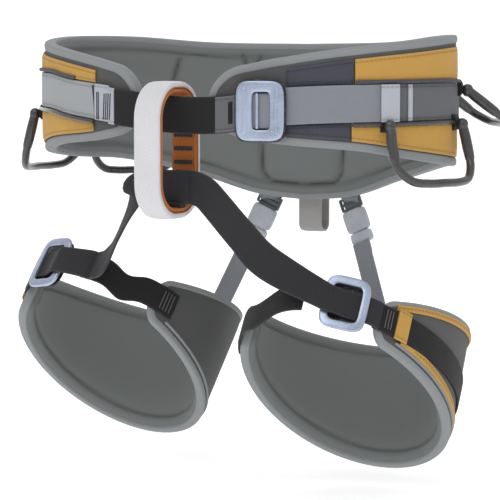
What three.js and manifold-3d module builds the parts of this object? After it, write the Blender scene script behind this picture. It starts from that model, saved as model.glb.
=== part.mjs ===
// A sit harness for climbing: padded waist belt, belay loop, two leg loops, buckles, gear loops and risers.
// Millimetres. +Z is up, the wearer faces -Y, +X is the side that carries the waist buckle.
// The origin is the centre of the waist opening at the level where the belt is measured.

import * as THREE from "three";
import { mergeVertices } from "three/addons/utils/BufferGeometryUtils.js";
import Module from "manifold-3d";

const wasm = await Module();
wasm.setup();

// ---------------------------------------------------------------- driving dimensions

const WAIST_HALF_WIDTH = 154; // centre to the outside of the padding, at the hips
const WAIST_HALF_DEPTH = 100; // the same, front and back
const PAD_THICKNESS = 9; // waist padding
const BACK_TOP = 52.5; // belt edges above and below the origin, at the spine
const BACK_BOTTOM = -59;
const HIP_TOP = 58; // belt edges over the hips
const HIP_BOTTOM = -26;
const NOSE_TOP = 38; // belt edges where the front tongues begin to narrow
const NOSE_BOTTOM = -5;
const RIGHT_TIP = 10; // angle of each tongue's tip from the front, degrees
const LEFT_TIP = 348;
const TIP_LENGTH = 8; // angle over which a tongue rounds off

const CLEARANCE = 0.35; // between pieces that are sewn or laid on each other
const SHELL = 1.4; // outer fabric
const FABRIC = 1.6; // sewn-on panels and the belt's band
const WEBBING_WIDTH = 25; // waist webbing
const WEBBING_THICKNESS = 2;
const RAIL = 3; // moulded rail and piping, square

const BELAY_X = -4; // the belay loop hangs a little to the left of the middle
const BELAY_WIDTH = 19;
const BELAY_DEPTH = 58; // outside, front to back
const BELAY_HEIGHT = 92; // outside
const BELAY_OUTER = 4.2; // white outer webbing
const BELAY_LINING = 3.4; // orange inner tape
const BELAY_ABOVE_WEBBING = 2; // play over the webbing's top edge

const LEG_HALF_WIDTH = 70; // leg loop, across the thigh
const LEG_HALF_DEPTH = 83; // leg loop, front to back
const LEG_PAD_HEIGHT = 93; // at the back of the thigh
const LEG_END_HEIGHT = 27; // at the two front ends
const LEG_PAD_THICKNESS = 8;
const LEG_PITCH = 36; // each loop's back hangs lower than its front
const LEG_INNER_END = 46; // pad ends, angle from the front, inner thigh first
const LEG_OUTER_END = 309;
const LEG_WEBBING = 20;
const LEG_STRAP_WIDTH = 23; // strap from the bridge to the leg buckle
const LEG_FACET = (LEG_OUTER_END - LEG_INNER_END) / 40;

const BUCKLE_WIDTH = 35; // waist buckle, along the belt
const BUCKLE_HEIGHT = 42;
const LEG_BUCKLE_WIDTH = 31;
const LEG_BUCKLE_HEIGHT = 40;
const PLATE = 2; // buckle base plates
const FRAME = 2.6; // buckle frames

const GEAR_TUBE = 2.9; // gear loop radius
const GEAR_AXIS = 10; // hinge line outside the padding
const HAUL_WIDTH = 19;
const HAUL_DEPTH = 15;
const HAUL_HEIGHT = 42;
const HAUL_WALL = 2;
const RISER_WIDTH = 15;
const RISER_THICKNESS = 1.8;
const CLIP_WIDTH = 19;
const CLIP_LENGTH = 17;
const CLIP_THICKNESS = 7;

const ANGLE_STEP = 4; // facets along the belt

// The two legs hang a little differently, as the harness is displayed: where each loop's centre lies and
// how it is turned, the height of its webbing's middle, and its buckle's angle from the front. riser is
// the belt angle that its riser hangs from, and foot the loop angle that the riser runs down to.
const LEGS = [
  {
    name: "left",
    side: -1,
    centre: [93, 5, -134],
    turn: { yaw: -2, roll: 5 },
    line: -22,
    buckle: -18,
    riser: 192.5,
    foot: 168,
  },
  {
    name: "right",
    side: 1,
    centre: [89, 1, -144],
    turn: { yaw: 7, roll: 10 },
    line: -29,
    buckle: -33,
    riser: 167.5,
    foot: 156,
  },
];

// Gear loops: belt angles of the two ends, height of the hinge line, drop and swing away from the hip.
const GEAR_LOOPS = [
  { name: "right_front_gear_loop", from: 59, to: 93, z: 0, drop: 39, out: 14 },
  { name: "right_rear_gear_loop", from: 101, to: 131, z: 23, drop: 39, out: 52 },
  { name: "left_front_gear_loop", from: 252, to: 288, z: 4, drop: 41, out: 14 },
  { name: "left_rear_gear_loop", from: 220, to: 248, z: -4, drop: 38, out: 12 },
];

// ---------------------------------------------------------------- materials

const finish = (color, roughness, metalness = 0) => ({ color, roughness, metalness });
const FINISHES = {
  lining: finish(0x5c5f5d, 0.95),
  shell: finish(0x8c8f93, 0.9),
  binding: finish(0x9a9da1, 0.8),
  gold: finish(0xd39a48, 0.75),
  slate: finish(0x5f5f6c, 0.8),
  band: finish(0x74767e, 0.8),
  tab: finish(0xc8cbd4, 0.75),
  black: finish(0x252527, 0.85),
  strap: finish(0x333337, 0.85),
  white: finish(0xe0e0e6, 0.8),
  orange: finish(0xc8682d, 0.75),
  grey: finish(0x8f939b, 0.8),
  haul: finish(0xb4b2ae, 0.8),
  plastic: finish(0x3c3a3e, 0.35),
  clip: finish(0xa0a4ac, 0.45),
  glide: finish(0x555c5f, 0.5),
  alloy: finish(0xb2bed6, 0.35, 0.7),
  dark_alloy: finish(0x2a2d33, 0.5, 0.5),
};

const harness = new THREE.Group();
harness.name = "climbing_harness";

function add(name, geometry, slot, parent = harness) {
  const mesh = new THREE.Mesh(geometry, new THREE.MeshStandardMaterial(FINISHES[slot]));
  mesh.name = name;
  parent.add(mesh);
  return mesh;
}

// ---------------------------------------------------------------- geometry helpers

const radians = THREE.MathUtils.degToRad;
const lerp = THREE.MathUtils.lerp;
const vector = (x, y, z) => new THREE.Vector3(x, y, z);

// A smooth function through [x, value] pairs in rising x, held level past both ends.
function through(points) {
  const slope = (i) => {
    const before = points[Math.max(i - 1, 0)];
    const after = points[Math.min(i + 1, points.length - 1)];
    return (after[1] - before[1]) / (after[0] - before[0]);
  };
  return (x) => {
    if (x <= points[0][0]) return points[0][1];
    const i = points.findIndex((p) => p[0] >= x);
    if (i < 0) return points[points.length - 1][1];
    const [x0, y0] = points[i - 1];
    const [x1, y1] = points[i];
    const span = x1 - x0;
    const t = (x - x0) / span;
    const cubic = 2 * t ** 3 - 3 * t ** 2;
    const start = (t ** 3 - 2 * t ** 2 + t) * span * slope(i - 1);
    const end = (t ** 3 - t ** 2) * span * slope(i);
    return (1 + cubic) * y0 - cubic * y1 + start + end;
  };
}

// Turns every face round where the closed surface encloses a negative volume.
function facingOut(geometry) {
  const at = geometry.attributes.position;
  const index = geometry.index.array;
  const [a, b, c] = [vector(), vector(), vector()];
  let volume = 0;
  for (let i = 0; i < index.length; i += 3) {
    a.fromBufferAttribute(at, index[i]);
    b.fromBufferAttribute(at, index[i + 1]);
    c.fromBufferAttribute(at, index[i + 2]);
    volume += a.dot(b.cross(c));
  }
  if (volume < 0) index.reverse();
  return geometry;
}

// A box of columns x rows facets, bent by place(column, across, through): column is a whole number,
// across and through run from 0 to 1.
function bentBox(columns, rows, place) {
  const geometry = new THREE.BoxGeometry(1, 1, 1, columns, rows, 1);
  const at = geometry.attributes.position;
  for (let i = 0; i < at.count; i++) {
    const column = Math.round((at.getX(i) + 0.5) * columns);
    const p = place(column, at.getY(i) + 0.5, at.getZ(i) + 0.5);
    at.setXYZ(i, p.x, p.y, p.z);
  }
  return facingOut(geometry);
}

// A flat strap along points, with the direction its face looks given at each point.
function strap(points, faces, width, thickness, steps, rows = 1) {
  const path = new THREE.CatmullRomCurve3(points);
  const facing = new THREE.CatmullRomCurve3(faces);
  return bentBox(steps, rows, (column, across, through) => {
    const t = column / steps;
    const along = path.getTangent(t);
    const side = facing.getPoint(t).cross(along).normalize();
    const face = along.clone().cross(side).normalize();
    const w = typeof width === "function" ? width(t) : width;
    return path
      .getPoint(t)
      .addScaledVector(side, (across - 0.5) * w)
      .addScaledVector(face, (through - 0.5) * thickness);
  });
}

function roundedRectangle(path, width, height, radius, x = 0, y = 0) {
  const [w, h] = [width / 2 - radius, height / 2 - radius];
  path.moveTo(x + w, y - h - radius);
  path.absarc(x + w, y - h, radius, -Math.PI / 2, 0);
  path.absarc(x + w, y + h, radius, 0, Math.PI / 2);
  path.absarc(x - w, y + h, radius, Math.PI / 2, Math.PI);
  path.absarc(x - w, y - h, radius, Math.PI, Math.PI * 1.5);
  path.closePath();
  return path;
}

// A plate or ring: a rounded outline with rounded windows [width, height, radius, x, y], centred on depth.
function plate(outline, windows, depth, curveSegments = 2) {
  const shape = roundedRectangle(new THREE.Shape(), ...outline);
  for (const w of windows) shape.holes.push(roundedRectangle(new THREE.Path(), ...w));
  const options = { depth, bevelEnabled: false, curveSegments };
  return new THREE.ExtrudeGeometry(shape, options).translate(0, 0, -depth / 2);
}

function tube(points, radius, steps) {
  const section = new THREE.Shape().absarc(0, 0, radius, 0, 2 * Math.PI);
  const extrudePath = new THREE.CatmullRomCurve3(points);
  return new THREE.ExtrudeGeometry(section, { steps, extrudePath, curveSegments: 4 });
}

function solid(geometry) {
  const loose = geometry.index ? geometry.toNonIndexed() : geometry;
  const bare = new THREE.BufferGeometry();
  bare.setAttribute("position", loose.getAttribute("position"));
  const merged = mergeVertices(bare, 1e-4);
  const vertProperties = merged.attributes.position.array;
  const triVerts = new Uint32Array(merged.index.array);
  return new wasm.Manifold(new wasm.Mesh({ numProp: 3, vertProperties, triVerts }));
}

function geometryOf(manifold) {
  const { vertProperties, triVerts } = manifold.getMesh();
  const made = new THREE.BufferGeometry();
  made.setAttribute("position", new THREE.BufferAttribute(vertProperties, 3));
  made.setIndex(new THREE.BufferAttribute(triVerts, 1));
  return made;
}

// A group whose X runs along, Z looks out of the face, and Y completes them.
function facingGroup(position, along, out, parent = harness) {
  const group = new THREE.Group();
  const z = out.clone().normalize();
  const y = z.clone().cross(along).normalize();
  const x = y.clone().cross(z);
  group.quaternion.setFromRotationMatrix(new THREE.Matrix4().makeBasis(x, y, z));
  group.position.copy(position);
  parent.add(group);
  return group;
}

// ---------------------------------------------------------------- the waist ellipse

// Angles run from the front (0) over the wearer's buckle side (90) and the spine (180) to 360.
function beltNormal(angle) {
  const t = radians(angle);
  return vector(Math.sin(t) / WAIST_HALF_WIDTH, -Math.cos(t) / WAIST_HALF_DEPTH, 0).normalize();
}

function onBelt(angle, height, proud = 0) {
  const t = radians(angle);
  const p = vector(WAIST_HALF_WIDTH * Math.sin(t), -WAIST_HALF_DEPTH * Math.cos(t), height);
  return p.addScaledVector(beltNormal(angle), proud);
}

const beltTangent = (angle) => vector(0, 0, 1).cross(beltNormal(angle));
const fromFront = (angle) => Math.min(angle, 360 - angle);

const upperEdge = through([
  [10, NOSE_TOP - 3],
  [18, NOSE_TOP],
  [28, lerp(NOSE_TOP, HIP_TOP, 0.25)],
  [45, lerp(NOSE_TOP, HIP_TOP, 0.55)],
  [70, lerp(NOSE_TOP, HIP_TOP, 0.82)],
  [95, HIP_TOP],
  [125, HIP_TOP],
  [152, lerp(BACK_TOP, HIP_TOP, 0.2)],
  [180, BACK_TOP],
]);
const lowerEdge = through([
  [10, NOSE_BOTTOM + 2],
  [18, NOSE_BOTTOM],
  [28, lerp(NOSE_BOTTOM, HIP_BOTTOM, 0.2)],
  [50, lerp(NOSE_BOTTOM, HIP_BOTTOM, 0.42)],
  [70, lerp(NOSE_BOTTOM, HIP_BOTTOM, 0.72)],
  [97, HIP_BOTTOM],
  [122, lerp(HIP_BOTTOM, BACK_BOTTOM, 0.1)],
  [147, lerp(HIP_BOTTOM, BACK_BOTTOM, 0.47)],
  [165, lerp(HIP_BOTTOM, BACK_BOTTOM, 0.88)],
  [180, BACK_BOTTOM],
]);

// How much of a tongue's height is left near its tip: a quarter of an ellipse.
function tipShare(angle) {
  const past = Math.min(angle - RIGHT_TIP, LEFT_TIP - angle);
  const t = THREE.MathUtils.clamp(1 - past / TIP_LENGTH, 0, 1);
  return Math.max(Math.sqrt(1 - t * t), 0.14);
}

function beltEdge(angle, part) {
  const [top, bottom] = [upperEdge(fromFront(angle)), lowerEdge(fromFront(angle))];
  const middle = (top + bottom) / 2;
  return middle + ((part === "top" ? top : bottom) - middle) * tipShare(angle);
}
const beltTop = (angle) => beltEdge(angle, "top");
const beltBottom = (angle) => beltEdge(angle, "bottom");

// Middle height of the webbing and of the band behind it, all the way round.
const webbingHeight = through([
  [-25, 14],
  [-14, 11],
  [0, 7.5],
  [12, 7.5],
  [30, 13.5],
  [60, 15.5],
  [100, 15],
  [140, 6],
  [180, 0],
  [220, 6],
  [262, 20],
  [308, 22],
  [323, 18],
  [340, 14],
]);
const bandTop = (angle) => webbingHeight(angle) + WEBBING_WIDTH / 2;
const bandBottom = (angle) => webbingHeight(angle) - WEBBING_WIDTH / 2;

// Facet angles between two belt angles: shared whole steps, and finer ones where a tongue rounds off.
function beltAngles(from, to) {
  const angles = new Set([from, to]);
  for (let a = Math.ceil(from / ANGLE_STEP) * ANGLE_STEP; a < to; a += ANGLE_STEP) angles.add(a);
  for (let k = 1; k < 5; k++) {
    const inset = TIP_LENGTH * (1 - Math.cos((k * Math.PI) / 10));
    for (const a of [RIGHT_TIP + inset, LEFT_TIP - inset]) if (a > from && a < to) angles.add(a);
  }
  return [...angles].sort((p, q) => p - q);
}

// A layer of the belt between two angles, two heights and two distances outside the padding.
function beltLayer(from, to, low, high, inside, outside, rows = 1) {
  const angles = beltAngles(from, to);
  return bentBox(angles.length - 1, rows, (column, across, through) => {
    const angle = angles[column];
    const height = lerp(low(angle), high(angle), across);
    const inner = typeof inside === "function" ? inside(across) : inside;
    return onBelt(angle, height, lerp(inner, outside, through));
  });
}

// Layers outside the padding, each clear of the one below.
const SHELL_AT = CLEARANCE;
const PANEL_AT = SHELL_AT + SHELL + CLEARANCE;
const WEBBING_AT = PANEL_AT + FABRIC + CLEARANCE;
const OVER_AT = WEBBING_AT + WEBBING_THICKNESS + CLEARANCE;

// ---------------------------------------------------------------- waist belt

const BINDING = 2.4;
const SHELL_INSET = 1.5; // the shell stops this short of the padding's edges
const padInside = (across) => -PAD_THICKNESS * (1 - 0.4 * (2 * across - 1) ** 4);

add("waist_pad", beltLayer(RIGHT_TIP, LEFT_TIP, beltBottom, beltTop, padInside, 0, 4), "lining");
add(
  "waist_shell",
  beltLayer(
    RIGHT_TIP,
    LEFT_TIP,
    (a) => beltBottom(a) + SHELL_INSET * tipShare(a),
    (a) => beltTop(a) - SHELL_INSET * tipShare(a),
    SHELL_AT,
    SHELL_AT + SHELL,
  ),
  "shell",
);

const BINDING_INSIDE = -PAD_THICKNESS * 0.6;
add(
  "waist_top_binding",
  beltLayer(
    RIGHT_TIP,
    LEFT_TIP,
    (a) => beltTop(a) + CLEARANCE,
    (a) => beltTop(a) + CLEARANCE + BINDING,
    BINDING_INSIDE,
    SHELL_AT + SHELL,
  ),
  "binding",
);
add(
  "waist_bottom_binding",
  beltLayer(
    RIGHT_TIP,
    LEFT_TIP,
    (a) => beltBottom(a) - CLEARANCE - BINDING,
    (a) => beltBottom(a) - CLEARANCE,
    BINDING_INSIDE,
    SHELL_AT + SHELL,
  ),
  "binding",
);

const EDGE_MARGIN = 8; // plain shell left above the upper panels
const LOW_MARGIN = 4; // and below the lower ones
const LEAST_PANEL = 1.5; // height a panel keeps where the belt narrows
const BAND_END = { right: 20, left: 336 };
add(
  "waist_band",
  beltLayer(BAND_END.right, BAND_END.left, bandBottom, bandTop, PANEL_AT, PANEL_AT + FABRIC),
  "band",
);

const PANELS = [
  { name: "right_upper_panel", from: 49, to: 100, upper: true, slot: "gold" },
  { name: "right_lower_panel", from: 48, to: 100, upper: false, slot: "gold" },
  { name: "right_fore_upper_panel", from: 30, to: 48.5, upper: true, slot: "slate" },
  { name: "right_fore_lower_panel", from: 30, to: 47.5, upper: false, slot: "slate" },
  { name: "left_upper_panel", from: 260, to: 334, upper: true, slot: "gold" },
  { name: "left_lower_panel", from: 260, to: 333, upper: false, slot: "gold" },
];
for (const { name, from, to, upper, slot } of PANELS) {
  const low = upper ? (a) => bandTop(a) + CLEARANCE : (a) => beltBottom(a) + LOW_MARGIN;
  const high = upper ? (a) => beltTop(a) - EDGE_MARGIN : (a) => bandBottom(a) - CLEARANCE;
  const top = upper ? (a) => Math.max(high(a), low(a) + LEAST_PANEL) : high;
  const bottom = upper ? low : (a) => Math.min(low(a), high(a) - LEAST_PANEL);
  add(name, beltLayer(from, to, bottom, top, PANEL_AT, PANEL_AT + FABRIC), slot);
}

// Piping above the band and the moulded rail below it, on each hip.
const RAILS = [
  { name: "right_upper_piping", from: 49, to: 100, upper: true },
  { name: "right_gear_rail", from: 48, to: 100, upper: false },
  { name: "left_upper_piping", from: 256, to: 326, upper: true },
  { name: "left_gear_rail", from: 250, to: 334, upper: false },
];
const railLow = (a, upper) => (upper ? bandTop(a) + CLEARANCE : bandBottom(a) - CLEARANCE - RAIL);
for (const { name, from, to, upper } of RAILS) {
  const low = (a) => railLow(a, upper);
  const high = (a) => low(a) + RAIL;
  add(name, beltLayer(from, to, low, high, WEBBING_AT, WEBBING_AT + RAIL), "plastic");
}

// ---------------------------------------------------------------- waist webbing and buckle

const BUCKLE_ANGLE = 23.5;
const BUCKLE_MIDDLE = 10.5;
const TAB = { from: -25, to: -17.5 };
const TAIL = { from: BUCKLE_ANGLE + 3.5, to: 60 };
const SEAM = 0.5; // angle left between two lengths of webbing
const webbingLayer = (from, to, inside, thickness) =>
  beltLayer(from, to, bandBottom, bandTop, inside, inside + thickness);
const onBand = (from, to) => webbingLayer(from, to, WEBBING_AT, WEBBING_THICKNESS);
add("tie_in_tab", onBand(TAB.from, TAB.to - SEAM), "tab");
add("front_webbing", onBand(TAB.to, TAIL.from - SEAM), "black");
add("tail_webbing", onBand(TAIL.from, TAIL.to), "grey");
add("tail_keeper", webbingLayer(TAIL.to - 3.5, TAIL.to + 2.5, OVER_AT, FABRIC), "tab");

const plateAt = (angle, height, proud) =>
  facingGroup(onBelt(angle, height, proud), beltTangent(angle), beltNormal(angle));
const BUCKLE_AT = OVER_AT + 0.4;
const BUCKLE_RIM = 1.2; // the base plate shows this much round the frame
const waistBase = plateAt(BUCKLE_ANGLE, BUCKLE_MIDDLE, BUCKLE_AT + PLATE / 2);
const waistWindow = [12, 25, 2, 1, 0];
add(
  "waist_buckle_base",
  plate([BUCKLE_WIDTH, BUCKLE_HEIGHT, 7], [waistWindow], PLATE),
  "dark_alloy",
  waistBase,
);
const frameOutline = [BUCKLE_WIDTH - 2 * BUCKLE_RIM, BUCKLE_HEIGHT - 2 * BUCKLE_RIM, 6];
add(
  "waist_buckle_frame",
  plate(frameOutline, [waistWindow], FRAME),
  "alloy",
  plateAt(BUCKLE_ANGLE, BUCKLE_MIDDLE, BUCKLE_AT + PLATE + CLEARANCE + FRAME / 2),
);

// ---------------------------------------------------------------- gear loops and haul loop

// A loop hangs on the line between its two ends and swings out from it.
for (const { name, from, to, z, drop, out } of GEAR_LOOPS) {
  const swing = radians(out);
  const spot = (share, down) =>
    onBelt(lerp(from, to, share), z - down * Math.cos(swing), GEAR_AXIS + down * Math.sin(swing));
  const corner = 0.09; // share of the span that each lower corner rounds off
  const points = [
    spot(0, 0),
    spot(0, drop * 0.35),
    spot(corner * 0.35, drop * 0.72),
    spot(corner * 1.7, drop * 0.95),
    spot(0.32, drop),
    spot(0.5, drop),
    spot(0.68, drop),
    spot(1 - corner * 1.7, drop * 0.95),
    spot(1 - corner * 0.35, drop * 0.72),
    spot(1, drop * 0.35),
    spot(1, 0),
  ];
  add(name, tube(points, GEAR_TUBE, 30), "plastic");
}

const HAUL_TOP = BACK_BOTTOM + 15; // it is sewn on this far up from the belt's lower edge
const HAUL_CORNER = 7;
const haulGroup = facingGroup(
  vector(
    0,
    WAIST_HALF_DEPTH + PANEL_AT + CLEARANCE + HAUL_DEPTH / 2,
    HAUL_TOP - HAUL_HEIGHT / 2,
  ),
  vector(0, 1, 0),
  vector(1, 0, 0),
);
const haulOutline = [HAUL_DEPTH, HAUL_HEIGHT, HAUL_CORNER];
const haulWindow = haulOutline.map((size, i) => size - (i < 2 ? 2 : 1) * HAUL_WALL);
add("haul_loop", plate(haulOutline, [haulWindow], HAUL_WIDTH), "haul", haulGroup);

// ---------------------------------------------------------------- belay loop and leg bridge

const webbingMiddle = WEBBING_AT + WEBBING_THICKNESS / 2;
const belayTop = bandTop(0) + BELAY_ABOVE_WEBBING + BELAY_LINING + BELAY_OUTER;
const BELAY_CORNER = 25;
const belayCentre = vector(
  BELAY_X,
  -WAIST_HALF_DEPTH - webbingMiddle,
  belayTop - BELAY_HEIGHT / 2,
);
const belayGroup = facingGroup(belayCentre, vector(0, 1, 0), vector(1, 0, 0));
const belayRing = (inset, wall, width) => {
  const [w, h] = [BELAY_DEPTH - 2 * inset, BELAY_HEIGHT - 2 * inset];
  const radius = BELAY_CORNER - inset;
  const hole = [w - 2 * wall, h - 2 * wall, radius - wall];
  return plate([w, h, radius], [hole], width, 4);
};
add("belay_loop_webbing", belayRing(0, BELAY_OUTER, BELAY_WIDTH), "white", belayGroup);
add(
  "belay_loop_lining",
  belayRing(BELAY_OUTER + CLEARANCE, BELAY_LINING - CLEARANCE, BELAY_WIDTH - 1),
  "orange",
  belayGroup,
);

const BRIDGE_Y = -WAIST_HALF_DEPTH - 1;
const BRIDGE_Z = -41;
const BRIDGE_HALF = 14;
const BRIDGE_HEIGHT = 21;
const BRIDGE_THICKNESS = 3.4;
const bridgeSpot = (x) => vector(BELAY_X + x, BRIDGE_Y, BRIDGE_Z);
const front = vector(0, -1, 0);
add(
  "leg_bridge",
  strap(
    [bridgeSpot(-BRIDGE_HALF), bridgeSpot(BRIDGE_HALF)],
    [front, front],
    BRIDGE_HEIGHT,
    BRIDGE_THICKNESS,
    4,
  ),
  "strap",
);

// ---------------------------------------------------------------- leg loops

// A point on a leg loop: angle from the front towards the inner thigh, height along the thigh, distance
// outside the padding.
function onLeg(leg, angle, height, proud = 0) {
  const t = radians(angle);
  const p = vector(LEG_HALF_WIDTH * Math.sin(t), -LEG_HALF_DEPTH * Math.cos(t), height);
  p.addScaledVector(
    vector(Math.sin(t) / LEG_HALF_WIDTH, -Math.cos(t) / LEG_HALF_DEPTH, 0).normalize(),
    proud,
  );
  return placeOnLeg(leg, p);
}

function turnOnLeg(leg, p) {
  p.applyAxisAngle(vector(1, 0, 0), -radians(LEG_PITCH));
  p.applyAxisAngle(vector(0, 1, 0), radians(leg.turn.roll));
  p.applyAxisAngle(vector(0, 0, 1), radians(leg.turn.yaw));
  if (leg.side > 0) p.x = -p.x;
  return p;
}

function placeOnLeg(leg, p) {
  const [x, y, z] = leg.centre;
  return turnOnLeg(leg, p).add(vector(leg.side * x, y, z));
}

function legNormal(leg, angle) {
  const t = radians(angle);
  const n = vector(Math.sin(t) / LEG_HALF_WIDTH, -Math.cos(t) / LEG_HALF_DEPTH, 0).normalize();
  return turnOnLeg(leg, n);
}

const LEG_MIDDLE = -17; // middle height of the padding at the back
const LEG_DROOP = 10; // both ends lie this much lower
const LEG_SLANT = 4; // and the outer end a little lower still
const padShare = (angle) => (angle - LEG_INNER_END) / (LEG_OUTER_END - LEG_INNER_END);
function legEdge(angle, sign) {
  const share = padShare(angle);
  const middle = LEG_MIDDLE - LEG_DROOP * (2 * share - 1) ** 2 - LEG_SLANT * (2 * share - 1);
  const height = lerp(LEG_END_HEIGHT, LEG_PAD_HEIGHT, Math.sin(Math.PI * share));
  return middle + (sign * height) / 2;
}
const legTop = (angle) => legEdge(angle, 1);
const legBottom = (angle) => legEdge(angle, -1);

function legLayer(leg, from, to, low, high, inside, outside, rows = 1, step = 7) {
  const columns = Math.max(Math.round(Math.abs(to - from) / step), 2);
  return bentBox(columns, rows, (column, across, through) => {
    const angle = lerp(from, to, column / columns);
    const inner = typeof inside === "function" ? inside(across) : inside;
    return onLeg(leg, angle, lerp(low(angle), high(angle), across), lerp(inner, outside, through));
  });
}

const legPadInside = (across) => -LEG_PAD_THICKNESS * (1 - 0.4 * (2 * across - 1) ** 4);
const BUCKLE_REACH = 15; // angle from a leg buckle's middle to the end of the webbing that holds it
const LEG_INSET = 3; // the leg shell stops this short of the padding's edges
const TRIM_HEIGHT = 5;
const BRIDGE_GAP = 5.4; // from the bridge's end to each strap's
// A flat frame's two sides stand this much clear of the loop's curve.
const FRAME_RISE = LEG_BUCKLE_WIDTH ** 2 / 8 / (LEG_HALF_WIDTH ** 2 / LEG_HALF_DEPTH);
const FRAME_PLAY = 1.2; // room above and below a leg buckle's frame, for its tilt

// Each main strap between the bridge and its loop: points, which way its face looks there, and the loop
// angle at which it lies down on the webbing. The left one turns edge-on as it drops.
const STRAP_SPOTS = {
  left: [
    [-38, -101, -52],
    [-52, -97, -73],
    [-64, -91, -92],
  ],
  right: [
    [30, -101, -52],
    [48, -99, -74],
    [64, -95, -94],
  ],
};
const STRAP_FACES = {
  left: [
    [-0.45, -0.85, 0.2],
    [-0.7, -0.65, 0.3],
    [-0.5, -0.75, 0.4],
  ],
  right: [
    [0, -1, 0],
    [0, -1, 0.1],
    [0.1, -0.95, 0.3],
  ],
};
const STRAP_MEETS = { left: 12, right: -7 };
const STRAP_LAP = 6; // angle by which the loop's inner strap runs on beneath the main one

for (const leg of LEGS) {
  const named = (piece) => leg.name + "_leg_" + piece;
  const [inner, outer] = [LEG_INNER_END, LEG_OUTER_END];
  add(
    named("pad"),
    legLayer(leg, inner, outer, legBottom, legTop, legPadInside, 0, 4, LEG_FACET),
    "lining",
  );
  const shellLow = (a) => legBottom(a) + LEG_INSET;
  const shellHigh = (a) => legTop(a) - LEG_INSET;
  add(
    named("shell"),
    legLayer(leg, inner, outer, shellLow, shellHigh, SHELL_AT, SHELL_AT + SHELL, 1, LEG_FACET),
    "shell",
  );

  // Webbing sewn round the outside of the thigh, its keeper and the coloured trim below it.
  const webLow = () => leg.line - LEG_WEBBING / 2;
  const webHigh = () => leg.line + LEG_WEBBING / 2;
  const webbingEnd = outer - LEG_FACET * 14;
  const bandEnd = 360 + leg.buckle - BUCKLE_REACH;
  add(
    named("outer_webbing"),
    legLayer(leg, webbingEnd, bandEnd, webLow, webHigh, PANEL_AT, PANEL_AT + FABRIC, 1, LEG_FACET),
    "black",
  );
  add(
    named("keeper"),
    legLayer(leg, outer - 15, outer - 9, webLow, webHigh, WEBBING_AT, WEBBING_AT + 1.2, 1, 3),
    "gold",
  );
  const trimHigh = (a) => Math.min(shellLow(a) + TRIM_HEIGHT, webLow() - CLEARANCE);
  const trimEnd = outer - LEG_FACET * 3;
  add(
    named("trim"),
    legLayer(leg, webbingEnd, trimEnd, shellLow, trimHigh, PANEL_AT, PANEL_AT + FABRIC, 1, LEG_FACET),
    "gold",
  );

  // Short strap from the inner end of the padding to beneath the main strap, where the loop closes.
  const meets = STRAP_MEETS[leg.name];
  add(
    named("inner_strap"),
    legLayer(leg, meets - STRAP_LAP, inner + 12, webLow, webHigh, PANEL_AT, PANEL_AT + FABRIC, 1, 5),
    "black",
  );

  // Leg buckle: base plate on the outer webbing's end, frame over it, main strap over the frame.
  const base = PANEL_AT + FABRIC / 2;
  const framed = base + PLATE / 2 + FRAME_PLAY + FRAME / 2;
  const strapAt = framed + FRAME / 2 + FRAME_RISE + FRAME_PLAY + WEBBING_THICKNESS / 2;
  const out = legNormal(leg, leg.buckle);
  const before = onLeg(leg, leg.buckle + 1, leg.line);
  const along = onLeg(leg, leg.buckle - 1, leg.line).sub(before);
  const buckle = (proud) => facingGroup(onLeg(leg, leg.buckle, leg.line, proud), along, out);
  const window = [LEG_BUCKLE_WIDTH - 10, LEG_BUCKLE_HEIGHT - 12, 2];
  add(
    named("buckle_base"),
    plate([LEG_BUCKLE_WIDTH, LEG_BUCKLE_HEIGHT - 4, 4], [], PLATE),
    "dark_alloy",
    buckle(base),
  );
  add(
    named("buckle_frame"),
    plate([LEG_BUCKLE_WIDTH, LEG_BUCKLE_HEIGHT, 6], [window], FRAME),
    "alloy",
    buckle(framed),
  );

  // Main strap: from the bridge down to the front of the loop, then along it and over the buckle.
  const at = (angle) => onLeg(leg, angle, leg.line, strapAt);
  const points = [
    vector(BELAY_X + leg.side * (BRIDGE_HALF + BRIDGE_GAP), BRIDGE_Y, BRIDGE_Z),
    vector(BELAY_X + leg.side * (BRIDGE_HALF + BRIDGE_GAP + 8), BRIDGE_Y, BRIDGE_Z - 4.2),
    ...STRAP_SPOTS[leg.name].map((p) => vector(...p)),
  ];
  const faces = [front, front, ...STRAP_FACES[leg.name].map((p) => vector(...p))];
  for (const share of [0, 0.35, 0.7, 1]) {
    const angle = lerp(meets, leg.buckle + 1, share);
    points.push(at(angle));
    faces.push(legNormal(leg, angle));
  }
  const width = (t) => lerp(LEG_STRAP_WIDTH, LEG_WEBBING, THREE.MathUtils.smoothstep(t, 0.5, 0.8));
  add(named("strap"), strap(points, faces, width, WEBBING_THICKNESS, 40, 2), "strap");
}

// ---------------------------------------------------------------- risers

// Each riser: a sewn tab on the belt, a glide, a two-part clip and an elastic down to the leg padding.
const TAB_ABOVE_EDGE = 14;
const TAB_BELOW_EDGE = 3;
const GLIDE = { length: 10, corner: 2, thickness: 2, slot: 2, slotAt: 2.5 };
const GLIDE_DROP = 4; // from the tab's lower end to the glide's middle
const POCKET_DEPTH = 10;
const PLUG = { width: CLIP_WIDTH - 5, thickness: CLIP_THICKNESS - 3, overlap: POCKET_DEPTH - 1 };
const PLUG_PLAY = 0.5; // round the plug in its pocket
const COLLAR = { length: 9, width: CLIP_WIDTH - 1, thickness: CLIP_THICKNESS - 1, corner: 2.5 };
const COLLAR_GAP = 0.3; // between the socket's mouth and the collar
const FOOT_GAP = 2; // the elastic ends this far above the leg padding
const box = (from, length, width, thickness, segments = 1) =>
  new THREE.BoxGeometry(length, width, thickness, segments).translate(from + length / 2, 0, 0);

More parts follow.
